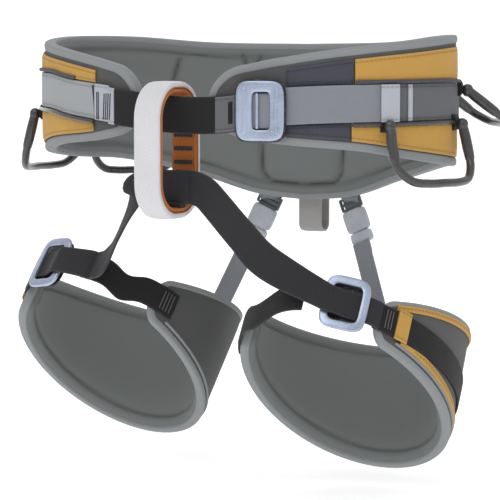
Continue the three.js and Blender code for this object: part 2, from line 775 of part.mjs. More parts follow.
for (const leg of LEGS) {
  const named = (piece) => leg.name + "_riser_" + piece;
  const edge = beltBottom(leg.riser);
  const tabEnd = edge - TAB_BELOW_EDGE;
  add(
    named("tab"),
    bentBox(2, 2, (column, across, through) => {
      const height = lerp(tabEnd, edge + TAB_ABOVE_EDGE, across);
      const p = onBelt(leg.riser, height, PANEL_AT + through * FABRIC);
      return p.addScaledVector(beltTangent(leg.riser), ((column - 1) * RISER_WIDTH) / 2);
    }),
    "grey",
  );

  // Along the group's X axis, from the glide's middle down to the leg padding.
  const top = onBelt(leg.riser, tabEnd - GLIDE_DROP, WEBBING_AT + GLIDE.thickness / 2);
  const down = onLeg(leg, leg.foot, legTop(leg.foot) + FOOT_GAP).sub(top);
  const group = facingGroup(top, down.clone().normalize(), beltNormal(leg.riser));
  const slots = [-1, 1].map((end) => [GLIDE.slot, RISER_WIDTH, 0.9, end * GLIDE.slotAt, 0]);
  const glideOutline = [GLIDE.length, CLIP_WIDTH, GLIDE.corner];
  add(named("glide"), plate(glideOutline, slots, GLIDE.thickness), "glide", group);

  const socketStart = GLIDE.length / 2 + CLEARANCE;
  const mouth = socketStart + CLIP_LENGTH;
  const socket = solid(
    plate([CLIP_LENGTH, CLIP_WIDTH, 3], [], CLIP_THICKNESS).translate(mouth - CLIP_LENGTH / 2, 0, 0),
  );
  const [pocketWidth, pocketThickness] = [PLUG.width, PLUG.thickness].map((v) => v + 2 * PLUG_PLAY);
  const pocket = solid(box(mouth - POCKET_DEPTH, POCKET_DEPTH + 1, pocketWidth, pocketThickness));
  add(named("clip_socket"), geometryOf(socket.subtract(pocket)), "clip", group);

  const collarStart = mouth + COLLAR_GAP;
  const collarEnd = collarStart + COLLAR.length;
  const tongueStart = mouth - PLUG.overlap;
  const tongueLength = collarStart - tongueStart + 0.1; // reaches into the collar
  const tongue = solid(box(tongueStart, tongueLength, PLUG.width, PLUG.thickness));
  const collar = solid(
    plate([COLLAR.length, COLLAR.width, COLLAR.corner], [], COLLAR.thickness).translate(
      collarEnd - COLLAR.length / 2,
      0,
      0,
    ),
  );
  add(named("clip_plug"), geometryOf(tongue.add(collar)), "clip", group);

  const elasticStart = collarEnd + CLEARANCE;
  const elastic = box(elasticStart, down.length() - elasticStart, RISER_WIDTH, RISER_THICKNESS, 6);
  add(named("elastic"), elastic, "grey", group);
}

export default harness;
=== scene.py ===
"""Looks for a climbing harness: padded belt, belay loop, leg loops, straps, buckles, gear loops and risers.

Shapes are worked out in millimetres, on the same curves as the frame's own pieces, and stored in metres.
+Z is up, the wearer faces -Y, and +X is the side that carries the waist buckle.
"""

import math

import bpy
import numpy as np
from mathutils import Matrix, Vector


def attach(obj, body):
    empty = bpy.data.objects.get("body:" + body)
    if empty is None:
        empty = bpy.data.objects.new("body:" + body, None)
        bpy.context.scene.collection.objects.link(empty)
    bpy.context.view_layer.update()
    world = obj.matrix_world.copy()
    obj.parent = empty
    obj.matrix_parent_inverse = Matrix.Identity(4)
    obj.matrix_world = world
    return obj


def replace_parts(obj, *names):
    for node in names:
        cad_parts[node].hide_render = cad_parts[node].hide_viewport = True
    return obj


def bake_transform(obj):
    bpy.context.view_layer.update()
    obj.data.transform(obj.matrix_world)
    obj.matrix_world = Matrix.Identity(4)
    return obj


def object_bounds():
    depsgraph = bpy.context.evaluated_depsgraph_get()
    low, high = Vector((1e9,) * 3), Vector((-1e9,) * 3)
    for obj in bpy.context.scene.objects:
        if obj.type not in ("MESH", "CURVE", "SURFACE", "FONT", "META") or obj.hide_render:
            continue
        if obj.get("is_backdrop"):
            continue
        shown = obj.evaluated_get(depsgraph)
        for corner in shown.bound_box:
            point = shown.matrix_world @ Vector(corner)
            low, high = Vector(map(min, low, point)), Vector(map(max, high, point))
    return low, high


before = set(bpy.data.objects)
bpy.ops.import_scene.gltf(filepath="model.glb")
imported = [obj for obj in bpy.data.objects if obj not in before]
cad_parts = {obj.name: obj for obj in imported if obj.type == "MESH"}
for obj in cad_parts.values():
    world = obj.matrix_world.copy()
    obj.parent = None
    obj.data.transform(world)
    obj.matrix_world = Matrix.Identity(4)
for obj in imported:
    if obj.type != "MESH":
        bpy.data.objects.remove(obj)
FRAME_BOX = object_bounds()

bl_info = {
    "name": "Climbing harness",
    "version": (1, 0, 0),
    "blender": (4, 5, 0),
    "location": "3D View > Sidebar > Harness",
    "description": "Builds the fabric, webbing and fittings of a sit harness round its frame",
    "category": "Add Mesh",
}

MM = 0.001
ROOT = "waist_belt"

# ------------------------------------------------------------------ the frame's dimensions, millimetres

WAIST = (154.0, 100.0)  # half width and half depth of the belt's outside
BACK_TOP, BACK_BOTTOM = 52.5, -59.0
HIP_TOP, HIP_BOTTOM = 58.0, -26.0
NOSE_TOP, NOSE_BOTTOM = 38.0, -5.0
RIGHT_TIP, LEFT_TIP, TIP_LENGTH = 10.0, 348.0, 8.0
WEBBING = 25.0
BELAY_X = -4.0
LEG = (70.0, 83.0)  # half width and half depth of a leg loop's outside
LEG_ENDS = (46.0, 309.0)  # angles of the padding's two ends, inner thigh first
LEG_HEIGHTS = (27.0, 93.0)
LEG_PITCH = 36.0
LEG_WEBBING = 20.0
LEG_SPAN = (LEG_ENDS[1] - LEG_ENDS[0]) / 40  # one facet of the frame's leg loop
BUCKLE_ANGLE, BUCKLE_MIDDLE = 23.5, 10.5
BRIDGE = (-101.0, -41.0)  # Y and Z of the strap's middle where it passes through the belay loop

WEBBING_AT = 4.05  # distance outside the padding at which webbing laid on a panel starts

LEGS = {
    "left": {"side": -1, "at": (93.0, 5.0, -134.0), "yaw": -2.0, "roll": 5.0, "line": -22.0, "buckle": -18.0},
    "right": {"side": 1, "at": (89.0, 1.0, -144.0), "yaw": 7.0, "roll": 10.0, "line": -29.0, "buckle": -33.0},
}
# Each main strap: the places where it hangs between the bridge and its loop, which way its face looks
# there, the loop angle at which it meets the inner strap, and the angles at which it lies on the webbing.
STRAPS = {
    "left": {
        "hangs": ((-33, -101, -52), (-45, -98, -72), (-60, -92, -93)),
        "looks": ((-0.7, -0.7, 0.1), (-0.9, -0.45, 0.1), (-0.7, -0.6, 0.4)),
        "meets": 12.0,
        "lies": (12.0, 9.0, 6.0),
    },
    "right": {
        "hangs": ((30, -101, -52), (49, -100, -72), (67, -97, -90)),
        "looks": ((0, -1, 0), (0, -1, 0.1), (0.1, -0.95, 0.3)),
        "meets": -7.0,
        "lies": (),
    },
}
STRAP_ABOVE = 10.6  # from the padding to the middle of a main strap that lies on the webbing
# The main strap out of the bridge, as (distance from the belay loop's middle, drop), and over a leg
# buckle's near bar, down its window and out under its far bar, as (distance ahead, distance out).
BRIDGE_PATH = ((4, 0), (15, 0.4), (20.5, 1.4), (27, 4.4))
BUCKLE_PATH = ((-13, 9.8), (-7, 8.4), (0, 5.8), (7, 4.7), (14.5, 4.5), (21, 2.4), (25, 0.2))
GEAR_LOOPS = {
    "right_front": (59, 93, 0, 39, 14),
    "right_rear": (101, 131, 23, 39, 52),
    "left_front": (252, 288, 4, 41, 14),
    "left_rear": (220, 248, -4, 38, 12),
}

# ------------------------------------------------------------------ curves


def smooth(points):
    """A function through (x, value) pairs: each span is a cubic whose slopes are those between its
    neighbours, and it stays level past both ends."""
    x, y = np.array(points, float).T
    before, after = np.arange(len(x)) - 1, np.arange(len(x)) + 1
    before[0], after[-1] = 0, len(x) - 1
    slope = (y[after] - y[before]) / (x[after] - x[before])

    def value(at):
        at = np.clip(np.asarray(at, float), x[0], x[-1])
        i = np.clip(np.searchsorted(x, at, side="left"), 1, len(x) - 1)
        span = x[i] - x[i - 1]
        t = (at - x[i - 1]) / span
        cubic = 2 * t**3 - 3 * t**2
        start = (t**3 - 2 * t**2 + t) * span * slope[i - 1]
        end = (t**3 - t**2) * span * slope[i]
        return (1 + cubic) * y[i - 1] - cubic * y[i] + start + end

    return value


def spline(points, count, carried=None):
    """count points along a smooth line through points, evenly spaced by length. carried, a vector for
    each point, is carried along with them."""
    points = np.array(points, float)
    knots = np.r_[0, np.cumsum(np.sqrt(np.linalg.norm(np.diff(points, axis=0), axis=1)))]
    fine = np.linspace(0, knots[-1], 20 * len(points))
    both = points if carried is None else np.c_[points, carried]
    line = np.stack([smooth(np.c_[knots, c])(fine) for c in both.T], axis=1)
    gone = np.r_[0, np.cumsum(np.linalg.norm(np.diff(line[:, :3], axis=0), axis=1))]
    at = np.linspace(0, gone[-1], count)
    line = np.stack([np.interp(at, gone, c) for c in line.T], axis=1)
    return line if carried is None else (line[:, :3], unit(line[:, 3:]))


def resample(line, count, closed=False):
    """count points evenly spaced by length along a line of straight pieces."""
    if closed:
        line = np.r_[line, line[:1]]
    gone = np.r_[0, np.cumsum(np.linalg.norm(np.diff(line, axis=0), axis=1))]
    at = np.linspace(0, gone[-1], count, endpoint=not closed)
    return np.stack([np.interp(at, gone, c) for c in line.T], axis=1)


def unit(v):
    return v / np.maximum(np.linalg.norm(v, axis=-1, keepdims=True), 1e-9)


def tangents(line, closed=False):
    if closed:
        return unit(np.roll(line, -1, axis=0) - np.roll(line, 1, axis=0))
    return unit(np.gradient(line, axis=0))


def lerp(a, b, t):
    return a + (b - a) * t


def ease(t, low=0.0, high=1.0):
    """0 below low, 1 above high, and a smooth step between them."""
    t = np.clip((np.asarray(t, float) - low) / (high - low), 0, 1)
    return t * t * (3 - 2 * t)


def ripple(seed, *parts):
    """A gentle wave from -1 to 1: the mean of a few sines of the given coordinates, each at its own
    direction, length and phase."""
    chance = np.random.default_rng(seed)
    total = 0
    for _ in range(5):
        phase = chance.uniform(0, 2 * np.pi)
        turned = sum(p * chance.normal() for p in parts)
        total = total + np.sin(turned + phase)
    return total / 5


# ------------------------------------------------------------------ the belt


def belt_normal(angle):
    t = np.radians(angle)
    return unit(np.stack([np.sin(t) / WAIST[0], -np.cos(t) / WAIST[1], 0 * t], axis=-1))


def on_belt(angle, height, proud):
    """A point on the belt: an ellipse seen from above, angle from the front, pushed out along its
    normal by proud."""
    angle, height, proud = np.broadcast_arrays(*(np.asarray(v, float) for v in (angle, height, proud)))
    t = np.radians(angle)
    flat = np.stack([WAIST[0] * np.sin(t), -WAIST[1] * np.cos(t), height], axis=-1)
    return flat + belt_normal(angle) * proud[..., None]


UPPER = smooth(
    [(10, NOSE_TOP - 3), (18, NOSE_TOP)]
    + [(a, lerp(NOSE_TOP, HIP_TOP, s)) for a, s in ((28, 0.25), (45, 0.55), (70, 0.82), (95, 1), (125, 1))]
    + [(152, lerp(BACK_TOP, HIP_TOP, 0.2)), (180, BACK_TOP)]
)
LOWER = smooth(
    [(10, NOSE_BOTTOM + 2), (18, NOSE_BOTTOM)]
    + [(a, lerp(NOSE_BOTTOM, HIP_BOTTOM, s)) for a, s in ((28, 0.2), (50, 0.42), (70, 0.72), (97, 1))]
    + [(a, lerp(HIP_BOTTOM, BACK_BOTTOM, s)) for a, s in ((122, 0.1), (147, 0.47), (165, 0.88), (180, 1))]
)
MIDDLE_OF_WEBBING = smooth(
    [(-25, 14), (-14, 11), (0, 7.5), (12, 7.5), (30, 13.5), (60, 15.5), (100, 15), (140, 6), (180, 0)]
    + [(220, 6), (262, 20), (308, 22), (323, 18), (340, 14)]
)


def belt_edge(angle, side, inset=0.0, least=0.0):
    """Height of the belt's upper (side 1) or lower (side -1) edge, less an inset. Each front tongue
    closes as the end of an ellipse."""
    angle = np.asarray(angle, float)
    front = np.minimum(angle, 360 - angle)
    top, bottom = UPPER(front), LOWER(front)
    past = np.minimum(angle - RIGHT_TIP, LEFT_TIP - angle)
    share = np.sqrt(np.clip(1 - np.clip(1 - past / TIP_LENGTH, 0, 1) ** 2, least**2, 1))
    return (top + bottom) / 2 + side * np.maximum((top - bottom) / 2 - inset, 0.3) * share


def belt_angles(start, stop, step=1.5):
    """Angles between two belt angles, bunched where a tongue rounds off."""
    even = np.linspace(start, stop, max(int((stop - start) / step), 2) + 1)
    turn = TIP_LENGTH * (1 - np.cos(np.linspace(0, np.pi / 2, 13)))
    both = np.r_[even, RIGHT_TIP + turn, LEFT_TIP - turn]
    both = np.unique(np.round(both[(both >= start) & (both <= stop)], 3))
    return both[np.r_[True, np.diff(both) > 0.02]]


# ------------------------------------------------------------------ the leg loops


def turn_on_leg(leg, p):
    """Turns p by the loop's pitch about X, roll about Y and yaw about Z, and mirrors it on the right."""
    for axis, degrees in ((0, -LEG_PITCH), (1, leg["roll"]), (2, leg["yaw"])):
        a, b = (axis + 1) % 3, (axis + 2) % 3
        c, s = math.cos(math.radians(degrees)), math.sin(math.radians(degrees))
        p = p.copy()
        p[..., a], p[..., b] = c * p[..., a] - s * p[..., b], s * p[..., a] + c * p[..., b]
    p[..., 0] *= -leg["side"]
    return p


def leg_normal(leg, angle):
    t = np.radians(angle)
    return turn_on_leg(leg, unit(np.stack([np.sin(t) / LEG[0], -np.cos(t) / LEG[1], 0 * t], axis=-1)))


def on_leg(leg, angle, height, proud=0.0):
    """A point on a leg loop: an ellipse round the thigh, angle from its front towards the inner thigh."""
    angle, height, proud = np.broadcast_arrays(*(np.asarray(v, float) for v in (angle, height, proud)))
    t = np.radians(angle)
    flat = np.stack([LEG[0] * np.sin(t), -LEG[1] * np.cos(t), height], axis=-1)
    x, y, z = leg["at"]
    return turn_on_leg(leg, flat) + leg_normal(leg, angle) * proud[..., None] + [leg["side"] * x, y, z]


LEG_ROUND = 6.0  # angle over which the padding's ends round off


def leg_edge(angle, side, inset=0.0):
    """Height of the leg padding's edge: the middle droops to both ends, and the height swells as half a
    sine between them."""
    share = (np.asarray(angle, float) - LEG_ENDS[0]) / (LEG_ENDS[1] - LEG_ENDS[0])
    middle = -17 - 10 * (2 * share - 1) ** 2 - 4 * (2 * share - 1)
    half = lerp(*LEG_HEIGHTS, np.sin(np.pi * np.clip(share, 0, 1))) / 2
    past = np.minimum(angle - LEG_ENDS[0], LEG_ENDS[1] - angle)
    end = np.sqrt(np.clip(1 - np.clip(1 - past / LEG_ROUND, 0, 1) ** 2, 0, 1))
    return middle + side * np.maximum(half - inset, 0.3) * end


def leg_angles(start, stop, step=2.0):
    even = np.linspace(start, stop, max(int((stop - start) / step), 2) + 1)
    turn = LEG_ROUND * (1 - np.cos(np.linspace(0, np.pi / 2, 11)))
    both = np.r_[even, LEG_ENDS[0] + turn, LEG_ENDS[1] - turn]
    both = np.unique(np.round(both[(both >= start) & (both <= stop)], 3))
    return both[np.r_[True, np.diff(both) > 0.02]]


# ------------------------------------------------------------------ meshes


def lengths(grid, axis):
    """Running length along one axis of a grid of points, averaged over the other, in metres."""
    steps = np.linalg.norm(np.diff(grid, axis=axis), axis=-1).mean(axis=1 - axis)
    return np.r_[0, np.cumsum(steps)] * MM


def surface(name, grid, finish, round_u=False, round_v=True, body=None, marks=None, sharp=50, caps=True):
    """A mesh through a grid of points (columns, rows, xyz). round_u and round_v join the last column
    or row to the first; caps closes the open ends of a tube. Its UV map is in metres, and marks gives
    more numbers for each point, which its finish reads by name."""
    columns, rows = grid.shape[:2]
    full = grid
    if round_u:
        full = np.concatenate([full, full[:1]], axis=0)
    if round_v:
        full = np.concatenate([full, full[:, :1]], axis=1)
    along, across = lengths(full, 0), lengths(full, 1)
    i, j = np.meshgrid(np.arange(full.shape[0] - 1), np.arange(full.shape[1] - 1), indexing="ij")
    corners = [(i, j), (i + 1, j), (i + 1, j + 1), (i, j + 1)]
    quads = np.stack([(a % columns) * rows + b % rows for a, b in corners], axis=-1).reshape(-1, 4)
    uv = np.stack([np.stack([along[a], across[b]], axis=-1) for a, b in corners], axis=-2)
    uv = uv.reshape(-1, 4, 2)
    points = grid.reshape(-1, 3) * MM
    a, b, c, d = (points[quads[:, k]] for k in range(4))
    middle = points.mean(axis=0)
    volume = np.einsum("ij,ij->", np.cross(a - middle, b - middle), c - middle)
    volume += np.einsum("ij,ij->", np.cross(a - middle, c - middle), d - middle)
    faces, loops = quads.tolist(), uv.tolist()
    if caps and round_v and not round_u:
        ends = [np.arange(rows)[::-1], (columns - 1) * rows + np.arange(rows)]
        for ring, u in zip(ends, (along[0], along[-1])):
            faces.append(ring.tolist())
            loops.append(np.c_[np.full(rows, u), across[ring % rows]].tolist())
    if volume < 0:
        faces, loops = [f[::-1] for f in faces], [uvs[::-1] for uvs in loops]
    mesh = bpy.data.meshes.new(name)
    mesh.from_pydata(points.tolist(), [], faces)
    layer = mesh.uv_layers.new(name="UVMap")
    layer.data.foreach_set("uv", np.array([v for face in loops for v in face], np.float32).ravel())
    for mark, values in (marks or {}).items():
        attribute = mesh.attributes.new(mark, "FLOAT", "POINT")
        values = np.broadcast_to(values, (columns, rows)).astype(np.float32)
        attribute.data.foreach_set("value", values.ravel())
    mesh.shade_smooth()
    mesh.set_sharp_from_angle(angle=math.radians(sharp))
    mesh.materials.append(finish_named(finish))
    made = bpy.data.objects.new(name, mesh)
    bpy.context.scene.collection.objects.link(made)
    if body:
        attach(made, body)
    return made


def tape_section(count, sharpness=6):
    """A flat tape's section as two lists from -1 to 1: across, bunched at its edges, and through,
    which closes at both edges as a superellipse."""
    across = np.sin(np.linspace(-np.pi / 2, np.pi / 2, count))
    across = np.sign(across) * np.abs(across) ** 0.8
    through = (1 - np.abs(across) ** sharpness) ** (1 / sharpness)
    return np.r_[across, across[-2:0:-1]], np.r_[through, -through[-2:0:-1]]


def layer(place, angles, low, high, inside, outside, count=12, sharpness=6):
    """A sewn layer as (grid, distance from its nearest long edge in metres). At each angle its section
    runs between two heights and two distances outside the padding."""
    across, through = tape_section(count, sharpness)
    a = angles[:, None]
    lows, highs = (np.asarray(f(angles), float)[:, None] for f in (low, high))
    height = lerp(lows, highs, (across + 1) / 2)
    inner = inside(a, across) if callable(inside) else inside
    outer = outside(a, across) if callable(outside) else outside
    grid = place(a, height, lerp(inner, outer, (through + 1) / 2))
    gap = (1 - np.abs(across)) * np.abs(highs - lows) / 2 * MM
    return grid, gap


def sweep(line, facing, width, thickness, closed=False, count=10, sharpness=6, crown=0.0):
    """A tape along a line as (grid, distance from its nearest long edge in metres): its section lies
    across the line, with its face towards facing. Width and thickness may change along it."""
    across, through = tape_section(count, sharpness)
    ahead = tangents(line, closed)
    side = unit(np.cross(facing, ahead))
    face = np.cross(ahead, side)
    width, thickness = (np.broadcast_to(v, len(line))[:, None] for v in (width, thickness))
    out = through * thickness / 2 + crown * (1 - across**2)
    grid = line[:, None] + side[:, None] * (across * width / 2)[..., None] + face[:, None] * out[..., None]
    return grid, (1 - np.abs(across)) * width / 2 * MM


def tube(line, radius, sides=16, closed=False):
    """A round tube along a line. radius may change along it, and closes an open end where it is 0."""
    ahead = tangents(line, closed)
    lean = np.array([0.31, 0.17, 0.94]) if abs(ahead[:, 2]).max() < 0.9 else np.array([0.2, 0.9, 0.3])
    side = unit(np.cross(ahead, unit(np.broadcast_to(lean, ahead.shape))))
    for k in range(1, len(side)):
        side[k] = unit(side[k - 1] - ahead[k] * (side[k - 1] @ ahead[k]))
    up = np.cross(ahead, side)
    t = np.linspace(0, 2 * np.pi, sides, endpoint=False)
    radius = np.broadcast_to(radius, len(line))[:, None, None]
    return line[:, None] + radius * (
        side[:, None] * np.cos(t)[None, :, None] + up[:, None] * np.sin(t)[None, :, None]
    )


def rounded_ends(line, radius):
    """Radius along a line that closes as a half ball at both ends."""
    gone = np.r_[0, np.cumsum(np.linalg.norm(np.diff(line, axis=0), axis=1))]
    left = np.minimum(gone, gone[-1] - gone) / radius
    return radius * np.sqrt(np.clip(1 - np.clip(1 - left, 0, 1) ** 2, 0.0004, 1))


def capsule_line(line, radius):
    """The line with more points in its first and last radius, so that its ends close round."""
    gone = np.r_[0, np.cumsum(np.linalg.norm(np.diff(line, axis=0), axis=1))]
    near = radius * (1 - np.cos(np.linspace(0, np.pi / 2, 8)))
    at = np.unique(np.r_[near, gone[(gone > radius) & (gone < gone[-1] - radius)], gone[-1] - near])
    return np.stack([np.interp(at, gone, c) for c in line.T], axis=1)


def rod(name, line, radius, finish, body, sides=14):
    """A round bar along a line, with round ends."""
    line = capsule_line(np.array(line, float), radius)
    return surface(name, tube(line, rounded_ends(line, radius), sides), finish, body=body)


def rounded_box_outline(width, height, radius, count):
    """A closed rounded rectangle as count points (x, y), evenly spaced by length."""
    quarter = np.linspace(0, np.pi / 2, 16)
    turns = np.concatenate([quarter + k * np.pi / 2 for k in range(4)])
    corner = np.repeat([(1, 1), (-1, 1), (-1, -1), (1, -1)], 16, axis=0)
    line = corner * [width / 2 - radius, height / 2 - radius]
    line = line + radius * np.stack([np.cos(turns), np.sin(turns)], axis=1)
    return resample(line, count, closed=True)


def superellipse(width, height, power, turns):
    c, s = np.abs(np.cos(turns)) / (width / 2), np.abs(np.sin(turns)) / (height / 2)
    reach = (c**power + s**power) ** (-1 / power)
    return np.stack([reach * np.cos(turns), reach * np.sin(turns)], axis=-1)


def ring_plate(outer, window, offset, thickness, crown=0.0, count=144, sharpness=4):
    """A forged frame lying in X and Y: a superellipse outline round a superellipse window, with a
    rounded section between them. outer and window are (width, height, power)."""
    turns = np.linspace(0, 2 * np.pi, count, endpoint=False)
    rim, hole = superellipse(*outer, turns), superellipse(*window, turns) + offset
    across, through = tape_section(9, sharpness)
    flat = lerp(hole[:, None], rim[:, None], ((across + 1) / 2)[None, :, None])
    lift = through * thickness / 2 + crown * (np.abs(flat[..., 0]) / (outer[0] / 2)) ** 3
    return np.concatenate([flat, lift[..., None]], axis=-1)


def facing(grid, position, along, out):
    """Stands a shape up: its X runs along, its Z looks out, and its middle is at position."""
    z = unit(np.array(out, float))
    y = unit(np.cross(z, along))
    return grid @ np.stack([np.cross(y, z), y, z]) + position


def join(name, parts):
    """Joins objects into the first, which takes the name."""
    with bpy.context.temp_override(active_object=parts[0], selected_editable_objects=parts):
        bpy.ops.object.join()
    parts[0].name = name
    return parts[0]


# ------------------------------------------------------------------ finishes


class Value:
    """A number socket in a finish, with arithmetic written as Python."""

    def __init__(self, maker, socket):
        self.maker, self.socket = maker, socket

    def __add__(self, other):
        return self.maker.math("ADD", self, other)

    def __mul__(self, other):
        return self.maker.math("MULTIPLY", self, other)

    def __sub__(self, other):
        return self.maker.math("SUBTRACT", self, other)

    def __truediv__(self, other):
        return self.maker.math("DIVIDE", self, other)

    def __rsub__(self, other):
        return self.maker.math("SUBTRACT", other, self)

    def __lt__(self, other):
        return self.maker.math("LESS_THAN", self, other)

    def __gt__(self, other):
        return self.maker.math("GREATER_THAN", self, other)

    __radd__, __rmul__ = __add__, __mul__

    def of(self, operation, *others):
        """A Math node with no operator of its own, such as FRACT, SINE or ABSOLUTE."""
        return self.maker.math(operation, self, *others)


class Finish:
    """A material round one Principled shader. Constants are set on the shader's own sockets."""

    def __init__(self, name, constants):
        self.material = bpy.data.materials.new(name)
        self.material.use_nodes = True
        self.tree = self.material.node_tree
        self.tree.nodes.clear()
        self.shader = self.node("BsdfPrincipled", {}, constants)
        self.node("OutputMaterial", {}, {"Surface": self.shader.outputs[0]})
        place = self.node("TexCoord", {}, {})
        self.place = place.outputs["Object"]
        flat = self.node("SeparateXYZ", {}, {0: place.outputs["UV"]})
        self.along, self.across = (Value(self, flat.outputs[k]) for k in (0, 1))

    def node(self, kind, settings, inputs):
        """Adds a shader node: its settings come first, then the values or links of its sockets."""
        made = self.tree.nodes.new("ShaderNode" + kind)
        for key, value in settings.items():
            setattr(made, key, value)
        for key, value in inputs.items():
            value = value.socket if isinstance(value, Value) else value
            if isinstance(value, bpy.types.NodeSocket):
                self.tree.links.new(value, made.inputs[key])
            else:
                made.inputs[key].default_value = value
        return made

    def math(self, operation, *values):
        node = self.node("Math", {"operation": operation}, dict(enumerate(values)))
        return Value(self, node.outputs[0])

    def noise(self, scale, detail=2.0, roughness=0.5, stretch=None):
        """Cloudy noise from 0 to 1 on the piece's own place; scale is in cells for each metre."""
        place = self.place
        if stretch:
            place = self.node("Mapping", {}, {"Vector": place, "Scale": stretch}).outputs[0]
        inputs = {"Vector": place, "Scale": scale, "Detail": detail, "Roughness": roughness}
        return Value(self, self.node("TexNoise", {}, inputs).outputs[0])

    def mark(self, name):
        """A number that the mesh holds for each point."""
        return Value(self, self.node("Attribute", {"attribute_name": name}, {}).outputs["Fac"])

    def mix(self, share, a, b):
        """Colour a at share 0 and colour b at share 1."""
        node = self.node("Mix", {"data_type": "RGBA"}, {0: share, 6: a, 7: b})
        return node.outputs[2]

    def clamp(self, value, low=0.0, high=1.0):
        node = self.node("MapRange", {}, {0: value, 1: low, 2: high})
        return Value(self, node.outputs[0])

    def yarns(self, along, across):
        """Yarns laid in brick order: each is a rounded bump twice as long as it is wide, half a
        length further on in the next row."""
        row = self.across / across
        shift = row.of("FLOOR") * 0.5
        lengthwise = (self.along / (2 * along) + shift).of("FRACT")
        return (lengthwise * math.pi).of("SINE") * (row.of("FRACT") * math.pi).of("SINE")

    def stitches(self, gap, pitch=0.0032, width=0.00045):
        """1 on a row of stitches at a distance from the piece's edges, and 0 between them."""
        off = (self.mark("edge") - gap).of("ABSOLUTE")
        return (off < width) * ((self.along / pitch).of("FRACT") < 0.74)

    def use(self, colour, roughness, height, depth):
        """Feeds the shader: colour, roughness, and a bump of that height and depth in metres."""
        bump = self.node("Bump", {}, {"Height": height, "Distance": depth, "Strength": 1.0})
        links = {"Base Color": colour, "Roughness": roughness, "Normal": bump.outputs[0]}
        for key, value in links.items():
            socket = value.socket if isinstance(value, Value) else value
            self.tree.links.new(socket, self.shader.inputs[key])
        return self.material


def shade(colour, factor):
    return [min(c * factor, 1.0) for c in colour[:3]] + [1.0]


# Each woven finish: yarn width and pitch in millimetres, bump depth in millimetres, roughness, and how
# much its colour wanders; then rows of stitches, as distances from the edge in millimetres.
WOVEN = {
    "lining": (0.55, 0.55, 0.10, 0.92, 0.10, ()),
    "shell": (0.45, 0.45, 0.10, 0.85, 0.12, ()),
    "binding": (0.9, 0.6, 0.16, 0.85, 0.08, ()),
    "gold": (0.5, 0.5, 0.10, 0.75, 0.16, (2.2,)),
    "slate": (0.5, 0.5, 0.10, 0.80, 0.12, (2.2,)),
    "pale": (0.6, 0.6, 0.10, 0.78, 0.08, (2.2,)),
    "band": (0.8, 0.7, 0.14, 0.80, 0.10, (2.0,)),
    "tab": (0.9, 0.8, 0.16, 0.78, 0.06, (1.8,)),
    "black": (1.1, 0.9, 0.20, 0.80, 0.18, ()),
    "strap": (1.1, 0.9, 0.18, 0.72, 0.14, ()),
    "white": (1.3, 1.0, 0.24, 0.78, 0.05, ()),
    "orange": (1.2, 0.9, 0.22, 0.72, 0.12, ()),
    "grey": (0.9, 0.7, 0.14, 0.72, 0.08, ()),
    "haul": (1.0, 0.8, 0.16, 0.75, 0.06, ()),
    "thread": (0.5, 0.4, 0.10, 0.80, 0.20, ()),
    "light_thread": (0.5, 0.4, 0.10, 0.80, 0.10, ()),
}
# Roughness and coat weight of each moulded finish; roughness and metallic of each metal one.
MOULDED = {"tube": (0.24, 0.6), "clip": (0.42, 0.1), "glide": (0.4, 0.1)}
METAL = {"alloy": (0.34, 0.75), "dark_alloy": (0.42, 0.4)}


def woven(name, colour, yarn, pitch, depth, rough, wander, rows):
    """Cloth: rounded yarns in brick order with dark gaps, loose fibres as fine noise, slow fading from
    handling, paler worn edges, and rows of stitches that press into it."""
    maker = Finish(name, {"Sheen Weight": 0.08, "Sheen Roughness": 0.45, "Specular IOR Level": 0.25})
    yarns = maker.yarns(yarn * MM, pitch * MM)
    fibres = maker.noise(2600, 2.0, 0.6)
    cloud = maker.noise(38, 4.0, 0.6)
    worn = (1 - maker.clamp(maker.mark("edge"), 0.0, 0.0016)) * maker.noise(240, 3.0)
    tone = maker.clamp(yarns * 0.5 + fibres * 0.35 + cloud * 0.25, 0.1, 0.9)
    base = maker.mix(tone, shade(colour, 1 - 0.30 - wander / 2), shade(colour, 1 + wander))
    base = maker.mix(maker.clamp(cloud, 0.35, 0.75) * wander, base, shade(colour, 0.6))
    base = maker.mix(worn * 0.35, base, shade([c * 0.85 + 0.09 for c in colour[:3]], 1))
    # Painted shade: a lining darkens in its sunk seams and channel, where its sewn mark is high.
    if "lining" in name:
        base = maker.mix(maker.mark("sewn") * 0.7, base, shade(colour, 0.35))
    height = yarns + fibres * 0.35
    for gap in rows:
        sewn = maker.stitches(gap * MM)
        pressed = (maker.mark("edge") - gap * MM).of("ABSOLUTE") < 0.0009
        base = maker.mix(sewn * 0.6, base, shade(colour, 0.45))
        height = height - pressed * 1.2 + sewn * 2.0
    roughness = maker.clamp(fibres * 0.25 + cloud * 0.2 + (rough - 0.2), 0.0, 1.0)
    return maker.use(base, roughness, height, depth * MM)


def moulded(name, colour, roughness, coat):
    """Moulded plastic: a fine grain, faint flow marks along it, and polish that varies with handling."""
    maker = Finish(name, {"Coat Weight": coat, "Coat Roughness": 0.12, "IOR": 1.49})
    grain, cloud = maker.noise(3200, 2.0), maker.noise(70, 4.0, 0.6)
    streak = maker.noise(400, 3.0, 0.6, (1.0, 1.0, 0.15))
    base = maker.mix(maker.clamp(cloud, 0.3, 0.7), shade(colour, 0.86), shade(colour, 1.14))
    base = maker.mix(maker.clamp(streak, 0.62, 0.8) * 0.25, base, shade([c + 0.12 for c in colour[:3]], 1))
    return maker.use(base, cloud * 0.16 + streak * 0.1 + (roughness - 0.1), grain + cloud, 0.00006)


